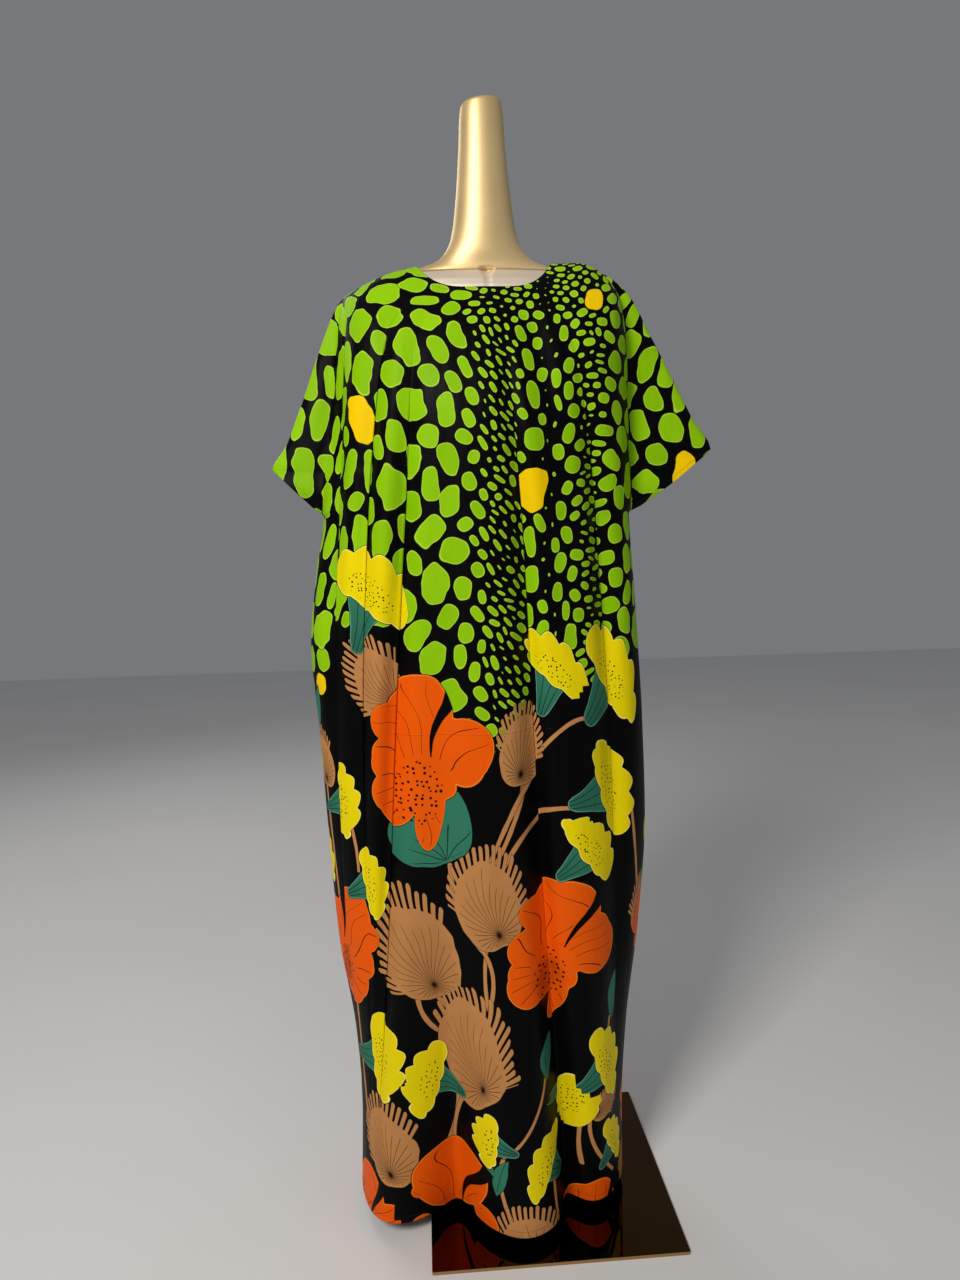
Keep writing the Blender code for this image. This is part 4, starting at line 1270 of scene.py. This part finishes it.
    def blossom(self):
        x, y, size, kind = self.local("blossom")
        x, y = x + self.drift * 0.2, y + self.wander * 0.08
        rise = y + 1.16
        bent = x + (kind - 0.3) * 0.4 * (1.0 - rise)
        half = 0.13 + 0.36 * self.most(rise, 0.0) ** 1.4
        foot = self.far(bent, rise - 0.12) - 0.13
        cone = self.maths("MINIMUM", self.most(abs(bent) - half, 0.10 - rise, rise - 1.06), foot) * size
        cup = self.mix(self.below(rise, 0.6, 0.8) * 0.5, inks["teal"], inks["deepTeal"])
        self.fill(cone, self.rimmed(cone, cup, "tealEdge"))
        ribs = self.fromLines(bent / half, 0.52) * half * size
        self.lay(self.below(ribs, 0.0005) * self.below(cone, -0.0012, 0.001), "line")
        open = self.most(kind - 1.0, 0.0)  # a kind above 1 is a rounder flower
        stretch = 1.0 + open
        north = (y - 0.06 + (kind - open * 2.0) * x + 0.20 * x * x) / stretch
        round = self.oval(x, north, (0.0, 0.0), 0.94, 0.41)
        steep = self.far(x * 1.13, north * 5.9 / stretch)
        lobes = abs(self.maths("SINE", x * 6.4 + north * 2.6 + kind * 5.0))
        top = self.below(0.0 - north, 0.06, 0.3)
        edge = ((round - 1.0) * round / steep - lobes * (0.05 + 0.09 * top)) * size
        self.fill(edge, self.rimmed(edge, inks["yellow"], "yellowEdge"))
        seeds = self.oval(x, north, (0.0, -0.12), 0.60, 0.26)
        self.lay(self.dots(0.0072, 0.0011) * self.below(seeds, 0.9, 0.2), "line")


def printedCloth():
    cloth = ClothPrint("printed_cloth")
    for layer in ("stems_under", "stems_over"):
        cloth.stems(layer)
    for layer in ("pebble_c", "pebble_b", "pebble_a"):
        cloth.pebbles(layer)
    cloth.leaf()
    cloth.fan()
    cloth.poppy()
    cloth.blossom()
    fine = cloth.noise(cloth.flat, 1400.0, 2.0, "2D")
    broad = cloth.noise(cloth.flat, 9.0, 2.0, "2D")
    across, down = cloth.parts(cloth.flat, 0, 1)
    crinkle = cloth.noise(cloth.vector(across * 26.0, down * 7.0), 1.0, 3.0, "2D")
    middle, height, half = weave["foldLine"]
    pressed = cloth.below(abs(down - height + cloth.drift * weave["foldWobble"]), 0.0004, 0.0016)
    pressed = pressed * cloth.below(abs(across - middle), half, 0.1)
    return cloth.close({
        "Base Color": cloth.shade(cloth.colour, 0.93 + broad * 0.12 + (fine - 0.5) * 0.05),
        "Roughness": weave["roughness"] + (fine - 0.5) * 0.12 + (broad - 0.5) * 0.06,
        "Specular IOR Level": weave["specular"],
        "Normal": cloth.bump(fine, 0.00006, 0.5, cloth.bump(crinkle + pressed * 0.3, 0.0035, 0.7)),
    })


def blackThread():
    finish = Finish("black_thread")
    grain = finish.noise(finish.place(), 1500.0)
    return finish.close({
        "Base Color": finish.mix(grain, *weave["thread"]),
        "Roughness": 0.6 + (grain - 0.5) * 0.3,
    })


printed, thread = printedCloth(), blackThread()
edging = turned["front"] + turned["back"]
for piece in [frontCloth, backCloth] + edging + [neckStitches, hemStitches, cuffStitches]:
    piece.data.materials.append(printed if piece in (frontCloth, backCloth) else thread)
for piece in [frontCloth, backCloth] + edging:
    wall = piece.modifiers.new("cloth thickness", "SOLIDIFY")
    wall.thickness = robe["cloth"]
    wall.offset = 0
print("cloth finished")


# The studio: a pale floor, a large soft lamp up to the left and two dim ones to fill.
studio = {
    "floorSize": 14.0,
    "floorColours": ((0.78, 0.775, 0.765, 1), (0.72, 0.715, 0.705, 1)),
    "lamps": (  # name, place, aimed at, width, watts, colour
        ("key_lamp", (-1.5, -2.5, 3.0), (0.0, 0.0, 0.95), 0.9, 96.0, (1.0, 0.97, 0.93)),
        ("fill_lamp", (2.4, -1.8, 1.6), (0.0, 0.0, 0.9), 1.8, 4.0, (1.0, 0.95, 0.9)),
        ("back_lamp", (-1.6, 2.4, 2.7), (0.0, 0.0, 1.1), 1.4, 20.0, (1.0, 0.98, 0.96)),
    ),
    "air": (0.80, 0.82, 0.86),
    "airStrength": 0.23,
}


def paleFloor():
    bm = bmesh.new()
    bmesh.ops.create_grid(bm, x_segments=8, y_segments=8, size=studio["floorSize"] / 2)
    floor = finishPiece("floor", bm)
    finish = Finish("pale_floor")
    place = finish.place()
    cloudy = finish.noise(place, 1.3, 4.0)
    fine = finish.noise(place, 60.0)
    floor.data.materials.append(finish.close({
        "Base Color": finish.mix(finish.below(cloudy, 0.5, 0.7), *studio["floorColours"]),
        "Roughness": 0.5 + (fine - 0.5) * 0.1,
        "Normal": finish.bump(fine, 0.0003, 0.2),
    }))
    return floor


def softLight():
    for name, place, aim, width, watts, colour in studio["lamps"]:
        lamp = bpy.data.lights.new(name, "AREA")
        lamp.shape, lamp.size, lamp.size_y = "RECTANGLE", width, width * 1.2
        lamp.energy, lamp.color = watts, colour
        holder = bpy.data.objects.new(name, lamp)
        holder.location = place
        holder.rotation_euler = (Vector(aim) - Vector(place)).to_track_quat("-Z", "Y").to_euler()
        bpy.context.scene.collection.objects.link(holder)
    air = bpy.data.worlds.new("air")
    air.use_nodes = True
    sky = air.node_tree.nodes["Background"]
    sky.inputs["Color"].default_value = (*studio["air"], 1)
    sky.inputs["Strength"].default_value = studio["airStrength"]
    bpy.context.scene.world = air
    bpy.context.scene.view_settings.view_transform = "Standard"


floor = paleFloor()
softLight()
print("studio lit")

# What each piece stands for and hangs from.
for piece, node in ((frontCloth, "robe_front"), (backCloth, "robe_back"), (goldForm, "form_body"),
                    (basePlate, "stand_plate")):
    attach(piece, "root")
    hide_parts(node)
for piece in turned["front"] + turned["back"] + [neckStitches, hemStitches, cuffStitches]:
    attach(piece, "root")
